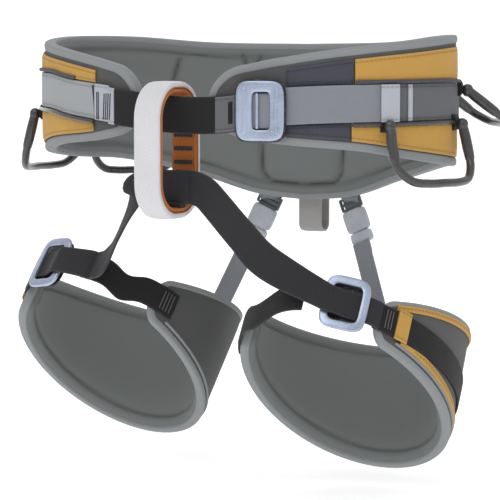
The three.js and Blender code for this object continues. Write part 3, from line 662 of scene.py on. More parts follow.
def metal(name, colour, roughness, metallic):
    """Tumbled, anodised alloy: small dents, hair-fine scratches both ways, and rubbed patches."""
    maker = Finish(name, {"Metallic": metallic, "Specular IOR Level": 0.5})
    dents, cloud = maker.noise(900, 3.0, 0.6), maker.noise(60, 4.0, 0.6)
    scratch = maker.noise(500, 4.0, 0.7, (0.12, 1.0, 1.6)) * maker.noise(700, 4.0, 0.7, (1.4, 0.2, 1.0))
    rubbed = maker.clamp(scratch, 0.26, 0.38)
    base = maker.mix(maker.clamp(cloud, 0.3, 0.7), shade(colour, 0.88), shade(colour, 1.1))
    base = maker.mix(rubbed * 0.4, base, shade([c * 0.6 + 0.35 for c in colour[:3]], 1))
    rough = maker.clamp(cloud * 0.25 + dents * 0.12 + (roughness - 0.18), 0.05, 1.0)
    return maker.use(base, rough, dents + rubbed * 0.5, 0.00008)


def finish_named(name):
    """The finish of that name, made from the scene's colours the first time it is asked for."""
    label = f"{name}_finish"
    if label in bpy.data.materials:
        return bpy.data.materials[label]
    colours = bpy.context.scene.harness_colours
    colour = list(getattr(colours, name))
    if name in MOULDED:
        return moulded(label, colour, *MOULDED[name])
    if name in METAL:
        return metal(label, colour, *METAL[name])
    return woven(label, colour, *WOVEN[name])


# ------------------------------------------------------------------ padding


def distance_to(line, a, b, scale):
    """Distance in millimetres from points (angle a, height b) to a line of straight pieces; scale is
    the millimetres in one degree."""
    line = np.array(line, float) * [scale, 1]
    p = np.stack([a * scale, b], axis=-1)
    least = np.full(a.shape, 1e9)
    for start, end in zip(line[:-1], line[1:]):
        d = end - start
        t = np.clip(((p - start) @ d) / (d @ d), 0, 1)
        least = np.minimum(least, np.linalg.norm(p - start - t[..., None] * d, axis=-1))
    return least


def groove(distance, width):
    """1 on a seam and 0 away from it, with sides that curve in as on a sewn channel."""
    return np.exp(-((distance / width) ** 2)) * 0.75 + np.exp(-((distance / (2.6 * width)) ** 2)) * 0.25


# Seams of the belt's lining, as (angle, height): a notch and a seam down both sides of the spine that
# meet below it, and a slanted seam over each hip. The right ones are the left ones turned over.
SPINE_SEAM = [(199.1, 46), (197, 34.4), (194.2, 0), (193.1, -24.6)]
SPINE_SEAM += [(192.7, -41.2), (190.5, -47.2), (187, -49)]
NOTCH_SEAM = [(197, 34.4), (193.6, 45.3)]
HIP_SEAM = [(219.4, 44), (221.5, 27.8), (226, 8), (233, -12)]
mirrored = [[(360 - a, z) for a, z in seam] for seam in (SPINE_SEAM, NOTCH_SEAM, HIP_SEAM)]
LINING_SEAMS = [SPINE_SEAM, NOTCH_SEAM, HIP_SEAM, *mirrored, [(187, -49), (173, -49)]]
SEAM_INSET = 8.0  # from a pad's edge to the channel sewn round it


def pad(name, place, angles, low, high, thickness, seams, scale, body, replaced, finish, wave):
    """A padded band: a closed grid whose inner face swells to its thickness, thins to the edges, and
    sinks along its seams and along a channel that follows its outline."""
    rows = 44
    across = np.sin(np.linspace(-np.pi / 2, np.pi / 2, rows))
    across = np.r_[across, across[-2:0:-1]]
    inner = np.r_[np.ones(rows), np.zeros(rows - 2)]
    a = np.broadcast_to(angles[:, None], (len(angles), len(across)))
    lows, highs = low(angles)[:, None], high(angles)[:, None]
    height = lerp(lows, highs, (across + 1) / 2)
    edge = (1 - np.abs(across)) * (highs - lows) / 2
    edge = np.minimum(edge, np.minimum(a - angles[0], angles[-1] - a) * scale)
    channel = groove(np.abs(edge - SEAM_INSET), 1.3)
    # sewn follows the sunk channel and seams on the inner face; the lining finish paints shade along it.
    lift, sewn = (1 - np.exp(-edge / 3.2)) * (1 - 0.45 * channel), 0.6 * channel
    for seam in seams:
        sunk = groove(distance_to(seam, a, height, scale), 1.2)
        lift, sewn = lift * (1 - 0.6 * sunk), np.maximum(sewn, sunk)
    swell = 0.42 + 0.58 * lift + 0.035 * wave * ripple(7, a * scale / 16, height / 14) * ease(edge, 4, 16)
    proud = np.where(inner > 0, -thickness * swell, -0.15)
    grid = place(a, height, proud)
    made = surface(name, grid, finish, body=body, marks={"edge": edge * MM, "sewn": sewn * inner}, sharp=80)
    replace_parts(made, *replaced)
    return made


# ------------------------------------------------------------------ pieces of the belt


def flat_layer(name, place, angles, low, high, inside, outside, finish, body, slot, replaced=(), **more):
    """A sewn or woven layer, riding on its body and standing for its frame nodes."""
    grid, gap = layer(place, angles, low, high, inside, outside, **more)
    made = surface(name, grid, finish, body=body, marks={"edge": gap})
    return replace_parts(made, *replaced) if replaced else made


def band_low(angle, inset=0.0):
    return MIDDLE_OF_WEBBING(wrapped(angle)) - WEBBING / 2 + inset


def band_high(angle, inset=0.0):
    return MIDDLE_OF_WEBBING(wrapped(angle)) + WEBBING / 2 - inset


def wrapped(angle):
    """The angle as the webbing's heights are kept: from -25 at the tie-in tab round to 340."""
    angle = np.asarray(angle, float)
    return np.where(angle > 340, angle - 360, angle)


def waist_padding():
    sizes = bpy.context.scene.harness_sizes
    thickness = sizes.waist_padding / MM
    pad(
        "waist_lining", on_belt, belt_angles(RIGHT_TIP, LEFT_TIP, 0.9), lambda a: belt_edge(a, -1),
        lambda a: belt_edge(a, 1), thickness, LINING_SEAMS, 2.3, ROOT, ["waist_pad"], "lining", 1.0,
    )  # fmt: skip


def belt_rim(inset):
    """The belt's outline as (angles, heights): over the top from the right tongue to the left one,
    and back below."""
    turn = np.linspace(0, np.pi / 2, 14)[:-1]
    across = np.linspace(RIGHT_TIP + TIP_LENGTH, LEFT_TIP - TIP_LENGTH, 240)
    top = np.r_[RIGHT_TIP + TIP_LENGTH * (1 - np.cos(turn)), across]
    top = np.r_[top, LEFT_TIP - TIP_LENGTH * (1 - np.cos(turn[::-1]))]
    angles = np.r_[top, top[-2:0:-1]]
    sides = np.r_[np.ones(len(top)), -np.ones(len(top) - 2)]
    return angles, belt_edge(angles, sides, inset)


def rim_tape(name, place, angles, heights, inner, outer, reach, over, finish, body, slot, replaced):
    """Edge tape folded over a pad's rim: a closed ring along the outline, with a rounded section from
    inside the padding to outside it, reaching over the rim and a little down both faces."""
    middle = place(angles, heights, (inner + outer) / 2)
    out = unit(place(angles, heights, outer) - middle)
    ahead = tangents(middle, closed=True)
    side = unit(np.cross(ahead, out))
    if side[len(side) // 4, 2] < 0:
        side = -side
    t = np.linspace(0, 2 * np.pi, 26, endpoint=False)
    c, s = np.cos(t), np.sin(t)
    lip = np.sign(s) * np.abs(s) ** 0.6
    thick = (outer - inner) / 2 * np.sign(c) * np.abs(c) ** 0.5
    high = lerp(-over, reach, (lip + 1) / 2)
    grid = middle[:, None] + out[:, None] * thick[:, None] + side[:, None] * high[:, None]
    edge = np.broadcast_to((high + over) * MM, grid.shape[:2])
    made = surface(name, grid, finish, round_u=True, body=body, marks={"edge": edge})
    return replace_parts(made, *replaced)


def waist_fabric():
    sizes = bpy.context.scene.harness_sizes
    puff = sizes.panel_puff / MM
    flat_layer(
        "waist_outer_fabric", on_belt, belt_angles(RIGHT_TIP, LEFT_TIP), lambda a: belt_edge(a, -1, 1.2),
        lambda a: belt_edge(a, 1, 1.2), 0.2, lambda a, v: 1.7 + 0.25 * ripple(3, a * 0.12, v * 2), "shell",
        ROOT, "shell", ["waist_shell"], count=20,
    )  # fmt: skip
    rim_tape(
        "waist_edge_tape", on_belt, *belt_rim(0.0), -6.4, 2.3, 2.6, 3.4, "binding", ROOT, "binding",
        ["waist_top_binding", "waist_bottom_binding"],
    )  # fmt: skip
    flat_layer(
        "waist_woven_band", on_belt, belt_angles(20, 336), band_low, band_high, 2.0,
        lambda a, v: 3.7 + 0.05 * ripple(5, a * 0.2, v), "band", ROOT, "band", ["waist_band"],
    )  # fmt: skip
    panels = [
        ("right_upper_panel", 49, 100, True, "gold"),
        ("right_lower_panel", 48, 100, False, "gold"),
        ("right_fore_upper_panel", 30, 48.6, True, "slate"),
        ("right_fore_lower_panel", 30, 47.6, False, "slate"),
        ("left_upper_panel", 260, 334, True, "gold"),
        ("left_lower_panel", 260, 333, False, "gold"),
    ]
    for name, start, stop, upper, finish in panels:
        low = (lambda a: band_high(a, -0.3)) if upper else (lambda a: belt_edge(a, -1, 3.6))
        high = (lambda a: belt_edge(a, 1, 5.5)) if upper else (lambda a: band_low(a, -0.3))
        top = (lambda a, f=high, g=low: np.maximum(f(a), g(a) + 1.5)) if upper else high
        bottom = low if upper else (lambda a, f=high, g=low: np.minimum(g(a), f(a) - 1.5))

        def cover(a, v, seed=len(name)):
            soft = (1 - v**4) * np.sqrt(np.clip(np.minimum(a - start, stop - a) / 4, 0, 1))
            folds = 0.5 * ripple(seed, a * 0.55, v * 1.2) + 0.3 * ripple(9, a * 1.6, v * 2)
            return 3.0 + soft * (puff + folds)

        flat_layer(
            name.replace("panel", "fabric"), on_belt, belt_angles(start, stop, 0.8), bottom, top, 2.0, cover,
            finish, ROOT, finish, [name], count=24, sharpness=8,
        )  # fmt: skip


def belt_line(start, stop, height, proud, step=1.0):
    angles = np.linspace(start, stop, max(int((stop - start) / step), 2))
    return on_belt(angles, height(angles), proud)


def waist_rails():
    """Corded piping above the band and a moulded rail below it, on each hip."""
    rails = [
        ("right_upper_piping", 49, 100, 1, "slate", 1.25),
        ("right_gear_rail", 48, 100, -1, "tube", 1.5),
        ("left_upper_piping", 256, 326, 1, "slate", 1.25),
        ("left_gear_rail", 250, 334, -1, "tube", 1.5),
    ]
    for name, start, stop, side, finish, radius in rails:
        edge = band_high if side > 0 else band_low
        line = belt_line(start, stop, lambda a, f=edge, s=side: f(a) + s * 1.7, 5.0)
        made = rod(name + "_cord", line, radius, finish, ROOT)
        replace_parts(made, name)


def bar_tack(name, rows, finish, body, radius=0.42):
    """A bar tack: rows of thick thread laid side by side, each a low rounded stitch."""
    made = [rod(f"{name}_{k}", row, radius, finish, body, sides=8) for k, row in enumerate(rows)]
    return join(name, made)


def tack_rows(place, a0, a1, z0, z1, proud, count, slant=0.0):
    """count upright lines of thread between two angles, from height z0 to z1, leaning by slant."""
    rows = []
    for a in np.linspace(a0, a1, count):
        t = np.linspace(0, 1, 9)
        rows.append(place(a + slant * (t - 0.5), lerp(z0, z1, t), proud + 0 * t))
    return rows


def waist_webbing():
    """The webbing from the tie-in tab through the buckle to its tail, its keeper and its stitching."""
    flat_layer(
        "tie_in_tape", on_belt, belt_angles(335, 342.1, 0.5), band_low, band_high, 4.0, 6.1, "tab", ROOT,
        "tab", ["tie_in_tab"], count=14,
    )  # fmt: skip
    front = np.linspace(-17.6, 26.6, 60)
    flat_layer(
        "front_waist_webbing", on_belt, front, band_low, band_high, WEBBING_AT,
        lambda a, v: 6.05 + 0.1 * np.abs(v) ** 3 + 0.25 * np.sin(np.radians(a * 9)) * (1 - v**2),
        "black", ROOT, "black", ["front_webbing"], count=16,
    )  # fmt: skip
    flat_layer(
        "waist_webbing_tail", on_belt, belt_angles(27, 60, 0.8), band_low, band_high, WEBBING_AT,
        lambda a, v: 6.0 + 0.12 * ripple(4, a * 0.2, v), "grey", ROOT, "grey", ["tail_webbing"], count=16,
    )  # fmt: skip
    flat_layer(
        "webbing_keeper", on_belt, belt_angles(56.5, 62.5, 0.5), band_low, band_high, 6.35, 7.95, "tab", ROOT,
        "tab", ["tail_keeper"], count=14,
    )  # fmt: skip
    flat_layer(
        "webbing_sleeve", on_belt, belt_angles(11.8, 17.6, 0.4), lambda a: band_low(a, 0.6),
        lambda a: band_high(a, 0.6), 5.9, 7.0, "band", ROOT, "band", count=14,
    )  # fmt: skip
    flat_layer(
        "webbing_slot_edge", on_belt, belt_angles(15.2, 16.3, 0.3), lambda a: band_low(a, 5.5),
        lambda a: band_high(a, 4.5), 6.9, 7.3, "black", ROOT, "black", count=8,
    )  # fmt: skip
    flat_layer(
        "pocket_edge_tape", on_belt, belt_angles(66.5, 68.2, 0.4), lambda a: band_low(a, 0.3),
        lambda a: band_high(a, 0.3), 3.7, 4.6, "tab", ROOT, "tab", count=8,
    )  # fmt: skip
    flat_layer(
        "left_hip_cover", on_belt, belt_angles(284, 334, 1.0), lambda a: band_low(a, 0.4),
        lambda a: band_high(a, 0.4), 3.7, lambda a, v: 4.4 + 0.2 * ripple(12, a * 0.3, v), "pale", ROOT,
        "tab", count=16,
    )  # fmt: skip
    tacks = tack_rows(on_belt, 338.6, 340.8, 3, 21, 6.2, 4, 0.4)
    tacks += tack_rows(on_belt, 336, 336.6, 3, 22, 6.2, 2)
    bar_tack("tie_in_stitching", tacks, "thread", ROOT)
    slanted = tack_rows(on_belt, 334.2, 334.9, 3.2, 26.5, 4.7, 3, -1.2)
    slanted += tack_rows(on_belt, 47.6, 48.6, 2.5, 26.5, 4.1, 3, 3.0)
    bar_tack("band_end_stitching", slanted, "thread", ROOT)


# ------------------------------------------------------------------ buckles


def placed(name, grid, at, along, out, finish, body, slot):
    """A closed ring or plate, stood up at a place so that it faces out."""
    made = surface(name, facing(grid, at, along, out), finish, round_u=True, body=body)
    return made


def belt_frame(angle, height, proud):
    """Position, direction along the belt and direction out of it."""
    out = belt_normal(np.float64(angle))
    return on_belt(angle, height, proud), np.cross([0, 0, 1], out), out


def waist_buckle():
    """The base plate with its darker rim, the bright frame over it, and the bar that the webbing
    turns round."""
    at, along, out = belt_frame(BUCKLE_ANGLE, BUCKLE_MIDDLE, 7.8)
    base = ring_plate((35, 42, 5), (12, 25, 7), (1, 0), 2.0)
    made = placed("waist_buckle_plate", base, at, along, out, "dark_alloy", ROOT, "dark_alloy")
    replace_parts(made, "waist_buckle_base")
    at = on_belt(BUCKLE_ANGLE, BUCKLE_MIDDLE, 10.45)
    top = ring_plate((32.8, 39.8, 5), (12, 25, 7), (1, 0), 2.6, crown=-0.9)
    made = placed("waist_buckle_rim", top, at, along, out, "alloy", "waist_buckle", "alloy")
    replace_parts(made, "waist_buckle_frame")
    for name, x, width in (("waist_buckle_lip", -10.6, 3.0), ("waist_buckle_heel", 11.6, 2.4)):
        t = np.linspace(-1, 1, 24)
        line = np.stack([x + 0.8 * (1 - t**2) * np.sign(-x), t * 15.5, 1.25 + 0 * t], axis=1)
        line = capsule_line(line, width / 2)
        rib = tube(line, rounded_ends(line, width / 2), 12)
        rib[..., 2] = 1.25 + (rib[..., 2] - 1.25) * 0.42
        made = surface(name, facing(rib, at, along, out), "alloy", body="waist_buckle")
    t = np.linspace(-12, 12, 12)
    bar = np.stack([0 * t - 1.8, t, 0 * t + 0.2], axis=1)
    made = rod("waist_buckle_bar", facing(bar, at, along, out), 1.1, "alloy", "waist_buckle")
    across, through = tape_section(10)
    u = np.linspace(-5.4, 7.0, 16)
    grid = np.stack(np.broadcast_arrays(u[:, None], across * 11.6, through * 0.7 - 1.6), axis=-1)
    edge = np.broadcast_to((1 - np.abs(across)) * 11.6 * MM, grid.shape[:2])
    grid = facing(grid, at, along, out)
    made = surface("waist_buckle_webbing", grid, "grey", body=ROOT, marks={"edge": edge})


def leg_frame(leg, proud):
    """Position of the leg buckle on the webbing's line, direction along the strap's end, direction out."""
    angle, line = leg["buckle"], leg["line"]
    ahead = on_leg(leg, angle - 1, line) - on_leg(leg, angle + 1, line)
    return on_leg(leg, angle, line, proud), unit(ahead), leg_normal(leg, np.float64(angle))


def leg_buckles():
    """On each leg a dark base plate and a bright frame that the strap runs over and through."""
    for side, leg in LEGS.items():
        name, loop = f"{side}_leg_buckle", f"{side}_leg_loop"
        base = ring_plate((31, 36, 4.5), (0.8, 0.8, 2), (0, 0), 1.4)
        made = placed(name + "_plate", base, *leg_frame(leg, 2.7), "dark_alloy", loop, "dark_alloy")
        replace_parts(made, f"{side}_leg_buckle_base")
        top = ring_plate((31.4, 40, 4.2), (20.4, 28, 6), (0, 0), 2.8, crown=-0.8)
        made = placed(name + "_rim", top, *leg_frame(leg, 6.8), "alloy", name, "alloy")
        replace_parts(made, f"{side}_leg_buckle_frame")


# ------------------------------------------------------------------ belay loop and haul loop


def ring_line(x, y, z, depth, height, radius, count=160):
    """A closed line round a rounded rectangle that stands in Y and Z at one X, and its outward sides."""
    flat = rounded_box_outline(depth, height, radius, count)
    line = np.stack([np.full(count, x), y + flat[:, 0], z + flat[:, 1]], axis=1)
    out = np.cross(tangents(line, closed=True), [1.0, 0, 0])
    return line, out * np.sign(((line - line.mean(axis=0)) * out).sum())


def ring_tape(name, line, out, width, thickness, finish, body, crown=0.0, sharpness=5):
    grid, gap = sweep(line, out, width, thickness, closed=True, count=14, crown=crown, sharpness=sharpness)
    made = surface(name, grid, finish, round_u=True, body=body, marks={"edge": gap})
    return made


def belay_loop():
    """Three layers of webbing sewn into a ring: pale outside, orange wear tape inside, bar tacks over
    the overlap on the rear run."""
    y, z = -105.05, -16.45
    line, out = ring_line(BELAY_X, y, z, 58 - 4.2, 92.1 - 4.2, 22.9)
    outer = ring_tape("belay_outer_webbing", line, out, 19, 4.2, "white", "belay_loop", crown=0.25)
    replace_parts(outer, "belay_loop_webbing")
    line, out = ring_line(BELAY_X, y, z, 58 - 11.7, 92.1 - 11.7, 19.1)
    inner = ring_tape("belay_wear_tape", line, out, 18.6, 3.0, "orange", "belay_loop")
    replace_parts(inner, "belay_loop_lining")
    line, out = ring_line(BELAY_X, y, z, 58 - 7.9, 92.1 - 7.9, 21)
    ring_tape("belay_loop_seam", line, out, 19.6, 0.9, "orange", "belay_loop")
    t = np.linspace(-7.2, 7.2, 12)
    rows = []
    for height in (2.2, -7.0, -16.2, -25.4):
        for lift in (-0.9, 0.0, 0.9):
            z = height + lift + 0.4 * np.sin(t * 2.2)
            rows.append(np.stack([BELAY_X + t, 0 * t - 83.95, z], axis=1))
    bar_tack("belay_loop_bar_tacks", rows, "thread", "belay_loop", 0.5)


def haul_loop():
    """A short ring of light tape that hangs below the back of the belt, and the tape it is sewn by."""
    line, out = ring_line(0, 109.95, -65.0, 15 - 2, 42 - 2, 6)
    made = ring_tape("haul_tape_loop", line, out, 19, 2.0, "haul", "haul_loop", crown=0.2)
    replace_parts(made, "haul_loop")
    flat_layer(
        "haul_loop_anchor", on_belt, np.linspace(175.4, 184.6, 12), lambda a: 0 * a - 58,
        lambda a: 0 * a - 30, 1.9, 2.35, "haul", ROOT, "haul", count=12,
    )  # fmt: skip
    rows = [
        on_belt(180 + np.linspace(-3, 3, 9), z + 0.3 * np.sin(np.arange(9) * 2), 2.5)
        for z in (-34.2, -33.2, -46.2, -45.2)
    ]
    bar_tack("haul_loop_stitching", rows, "thread", ROOT, 0.4)


# ------------------------------------------------------------------ gear loops


def gear_loops():
    """Four moulded tubes with sleeved ends, and the folded tape that holds each end to the belt."""
    for name, (start, stop, z, drop, out) in GEAR_LOOPS.items():
        swing = math.radians(out)

        def spot(share, down):
            return on_belt(
                lerp(start, stop, share), z - down * math.cos(swing), 10 + down * math.sin(swing)
            )

        corner = 0.09
        shares = [0, 0, corner * 0.35, corner * 1.7, 0.32, 0.5]
        drops = [0, 0.35, 0.72, 0.95, 1, 1]
        half = list(zip(shares, drops))
        both = half + [(1 - s, d) for s, d in half[-2::-1]]
        points = [spot(s, d * drop) for s, d in both]
        line = spline(points, 90)
        body = name + "_gear_loop"
        made = rod(name + "_gear_tube", line, 2.9, "tube", body, sides=20)
        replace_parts(made, body)
        sleeves = []
        for end, part in (("a", line[:17]), ("b", line[:-18:-1])):
            grid = tube(part, 2.9 + 0.75 * np.sin(np.linspace(0, np.pi, len(part))) ** 0.35, 20)
            sleeves.append(surface(f"{name}_sleeve_{end}", grid, "tube", body=body))
            knob = [part[0] + [0, 0, 4.5], part[0] - [0, 0, 4.5]]
            sleeves.append(rod(f"{name}_knob_{end}", knob, 3.9, "tube", body, 18))
        join(name + "_gear_sleeves", sleeves)
        for end, angle in (("a", start), ("b", stop)):
            flat_layer(
                f"{name}_gear_tab_{end}", on_belt, np.linspace(angle - 2.4, angle + 2.4, 8),
                lambda a, z=z: 0 * a + z - 4, lambda a, z=z: 0 * a + z + 7, 3.2,
                lambda a, v: 6.9 - 1.6 * np.abs(v) ** 2, "black", ROOT, "black", count=12,
            )  # fmt: skip


# ------------------------------------------------------------------ leg loops


def leg_low(inset=0.0):
    return lambda a: leg_edge(a, -1, inset)


def leg_high(inset=0.0):
    return lambda a: leg_edge(a, 1, inset)


def web_edge(leg, side, inset=0.0):
    return lambda a: 0 * a + leg["line"] + side * (LEG_WEBBING / 2 - inset)


def leg_rim():
    turn = np.linspace(0, np.pi / 2, 12)[:-1]
    across = np.linspace(LEG_ENDS[0] + LEG_ROUND, LEG_ENDS[1] - LEG_ROUND, 150)
    top = np.r_[LEG_ENDS[0] + LEG_ROUND * (1 - np.cos(turn)), across]
    top = np.r_[top, LEG_ENDS[1] - LEG_ROUND * (1 - np.cos(turn[::-1]))]
    angles = np.r_[top, top[-2:0:-1]]
    return angles, leg_edge(angles, np.r_[np.ones(len(top)), -np.ones(len(top) - 2)])


def leg_padding():
    thickness = bpy.context.scene.harness_sizes.leg_padding / MM
    for side, leg in LEGS.items():
        pad(
            f"{side}_leg_lining", lambda a, h, p, leg=leg: on_leg(leg, a, h, p), leg_angles(*LEG_ENDS, 1.2),
            leg_low(), leg_high(), thickness, [], 1.33, f"{side}_leg_loop", [f"{side}_leg_pad"],
            "lining", 0.7,
        )  # fmt: skip


def leg_fabric():
    """The cover, edge tape, hip-side panel, top strip and trim of both leg loops."""
    for side, leg in LEGS.items():
        body = f"{side}_leg_loop"

        def place(a, h, p, leg=leg):
            return on_leg(leg, a, h, p)

        def wave(a, v, seed=5 if side == "left" else 6):
            return 1.8 + 0.35 * (1 - v**4) + 0.3 * ripple(seed, a * 0.12, v * 2)

        flat_layer(
            f"{side}_leg_outer_fabric", place, leg_angles(*LEG_ENDS, 1.6), leg_low(1.2), leg_high(1.2), 0.2,
            wave, "shell", body, "shell", [f"{side}_leg_shell"], count=24,
        )  # fmt: skip
        rim_tape(
            f"{side}_leg_edge_tape", place, *leg_rim(), -4.2, 2.2, 1.9, 2.8, "binding", body, "binding", []
        )
        turns = np.linspace(0.04, 0.96, 140)
        angles = lerp(LEG_ENDS[0], LEG_ENDS[1], turns)
        piping = place(angles, leg_edge(angles, -1, 4.6), 2.3)
        rod(f"{side}_leg_lower_piping", piping, 1.0, "binding", body, 8)
        start = LEG_ENDS[1] - 14 * LEG_SPAN
        flat_layer(
            f"{side}_leg_outside_webbing", place, np.linspace(start, 345 + leg["buckle"], 60),
            web_edge(leg, -1), web_edge(leg, 1), 2.4, lambda a, v: 4.0 + 0.1 * ripple(8, a * 0.2, v), "black",
            body, "black", [f"{side}_leg_outer_webbing"], count=14,
        )  # fmt: skip
        flat_layer(
            f"{side}_leg_webbing_keeper", place, np.linspace(293.6, 300.4, 10), web_edge(leg, -1, -1.6),
            web_edge(leg, 1, -1.6), 3.9, 5.3, "gold", body, "gold", [f"{side}_leg_keeper"], count=12,
        )  # fmt: skip
        flat_layer(
            f"{side}_leg_lower_trim", place, np.linspace(start, LEG_ENDS[1] - 2 * LEG_SPAN, 50), leg_low(5.5),
            lambda a, leg=leg: np.minimum(leg_edge(a, -1, 11.5), leg["line"] - LEG_WEBBING / 2 - 0.3), 2.0,
            lambda a, v: 3.2 + 0.6 * (1 - v**2), "gold", body, "gold", [f"{side}_leg_trim"], count=12,
        )  # fmt: skip
        flat_layer(
            f"{side}_leg_top_trim", place, np.linspace(start, LEG_ENDS[1] - 1.2 * LEG_SPAN, 50),
            lambda a: leg_edge(a, 1, 6.5), leg_high(1.6), 2.0, lambda a, v: 3.0 + 0.5 * (1 - v**2), "gold",
            body, "gold", count=12,
        )  # fmt: skip
        inner_strap(side, leg, place)
        low, high = leg["line"] - 7, leg["line"] + 7
        rows = tack_rows(place, 50, 55.5, low, high, 4.1, 4) + tack_rows(place, 303, 306, low, high, 4.3, 3)
        bar_tack(f"{side}_leg_stitching", rows, "light_thread", body, 0.35)


def inner_strap(side, leg, place):
    """The short strap that closes the loop: from the padding's inner end, hanging slack, to beneath
    the main strap."""
    meets, half = STRAPS[side]["meets"], LEG_WEBBING / 2

    def middle(a):
        return leg["line"] - 5.0 * np.sin(np.pi * ease(a, meets, LEG_ENDS[0])) ** 2

    def rise(a):
        return 4.5 * ease(a, meets + 20, meets - 4)

    flat_layer(
        f"{side}_leg_inner_band", place, np.linspace(meets - 6, 58, 70), lambda a: middle(a) - half,
        lambda a: middle(a) + half, lambda a, v: 2.1 + rise(a),
        lambda a, v: 3.9 + rise(a) + 0.1 * ripple(2, a * 0.2, v), "black", f"{side}_leg_loop", "black",
        [f"{side}_leg_inner_strap"], count=14,
    )  # fmt: skip


def strap_line(side):
    """The main strap's line and the way its face looks: from the bridge to the loop, over the leg
    buckle's near bar, down through its window and out under its far bar."""
    leg, route = LEGS[side], STRAPS[side]
    y, z = BRIDGE
    spots = [(BELAY_X + leg["side"] * x, y, z - drop) for x, drop in BRIDGE_PATH]
    faces = [(0, -1, 0)] * len(spots) + list(route["looks"])
    spots += route["hangs"]
    for angle in route["lies"]:
        spots.append(on_leg(leg, angle, leg["line"], STRAP_ABOVE))
        faces.append(leg_normal(leg, np.float64(angle)))
    at, along, out = leg_frame(leg, 0)
    for ahead, lift in BUCKLE_PATH:
        spots.append(at + along * ahead + out * lift)
        faces.append(out)
    return spline(spots, 170, faces)


def leg_straps():
    """The straps that run from the belay loop to the leg buckles, and the fold where they meet."""
    for side, leg in LEGS.items():
        line, face = strap_line(side)
        share = np.linspace(0, 1, len(line))
        width = lerp(23, 20, ease(share, 0.5, 0.8))
        grid, gap = sweep(line, face, width, 2.0, count=14)
        grid = grid + (face * (0.25 * ripple(3 + leg["side"], share * 9))[:, None])[:, None]
        made = surface(f"{side}_leg_main_strap", grid, "strap", marks={"edge": gap})
        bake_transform(made)
        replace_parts(made, f"{side}_leg_strap")
    y, z = BRIDGE
    made = bridge_piece("leg_bridge_fold", 15, y, z, 24, 22, 4.4, 14, "strap")
    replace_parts(made, "leg_bridge")
    bridge_piece("leg_bridge_keeper", 9, y + 0.4, z - 15.5, 14, 9.5, 7.5, 12, "black")


def bridge_piece(name, half, y, z, points, width, thickness, count, finish):
    """A straight length of webbing across the foot of the belay loop."""
    line = resample(np.array([(BELAY_X - half, y, z), (BELAY_X + half, y, z)], float), points)
    front = np.broadcast_to([0, -1.0, 0], line.shape)
    grid, gap = sweep(line, front, width, thickness, count=count, sharpness=4)
    made = surface(name, grid, finish, body=ROOT, marks={"edge": gap})
    return made


# ------------------------------------------------------------------ risers

RISERS = {"left": (192.5, 168.0), "right": (167.5, 156.0)}


def riser_frame(side):
    """The glide's middle, the direction down to the leg padding, the way out, and the length."""
    angle, foot = RISERS[side]
    edge = float(belt_edge(angle, -1))
    top = on_belt(angle, edge - 7, WEBBING_AT + 1)
    end = on_leg(LEGS[side], foot, float(leg_edge(foot, 1)) + 2)
    down = end - top
    return edge, top, down / np.linalg.norm(down), belt_normal(np.float64(angle)), np.linalg.norm(down)


def block(size, power=5, rows=11, count=64, flare=0.0):
    """A rounded block, as rings of a superellipse that close at both ends: X is its length."""
    length, width, thickness = size
    along = np.sin(np.linspace(-np.pi / 2, np.pi / 2, rows))
    along = np.sign(along) * np.abs(along) ** 0.5
    share = np.clip(1 - np.abs(along) ** power, 0.0, 1) ** (1 / power)
    share = np.maximum(share, 0.04) * (1 + flare * along)
    turns = np.linspace(0, 2 * np.pi, count, endpoint=False)
    ring = superellipse(width, thickness, 4, turns)
    x = np.broadcast_to(along[:, None] * length / 2, (rows, count))
    return np.stack([x, share[:, None] * ring[None, :, 0], share[:, None] * ring[None, :, 1]], axis=-1)


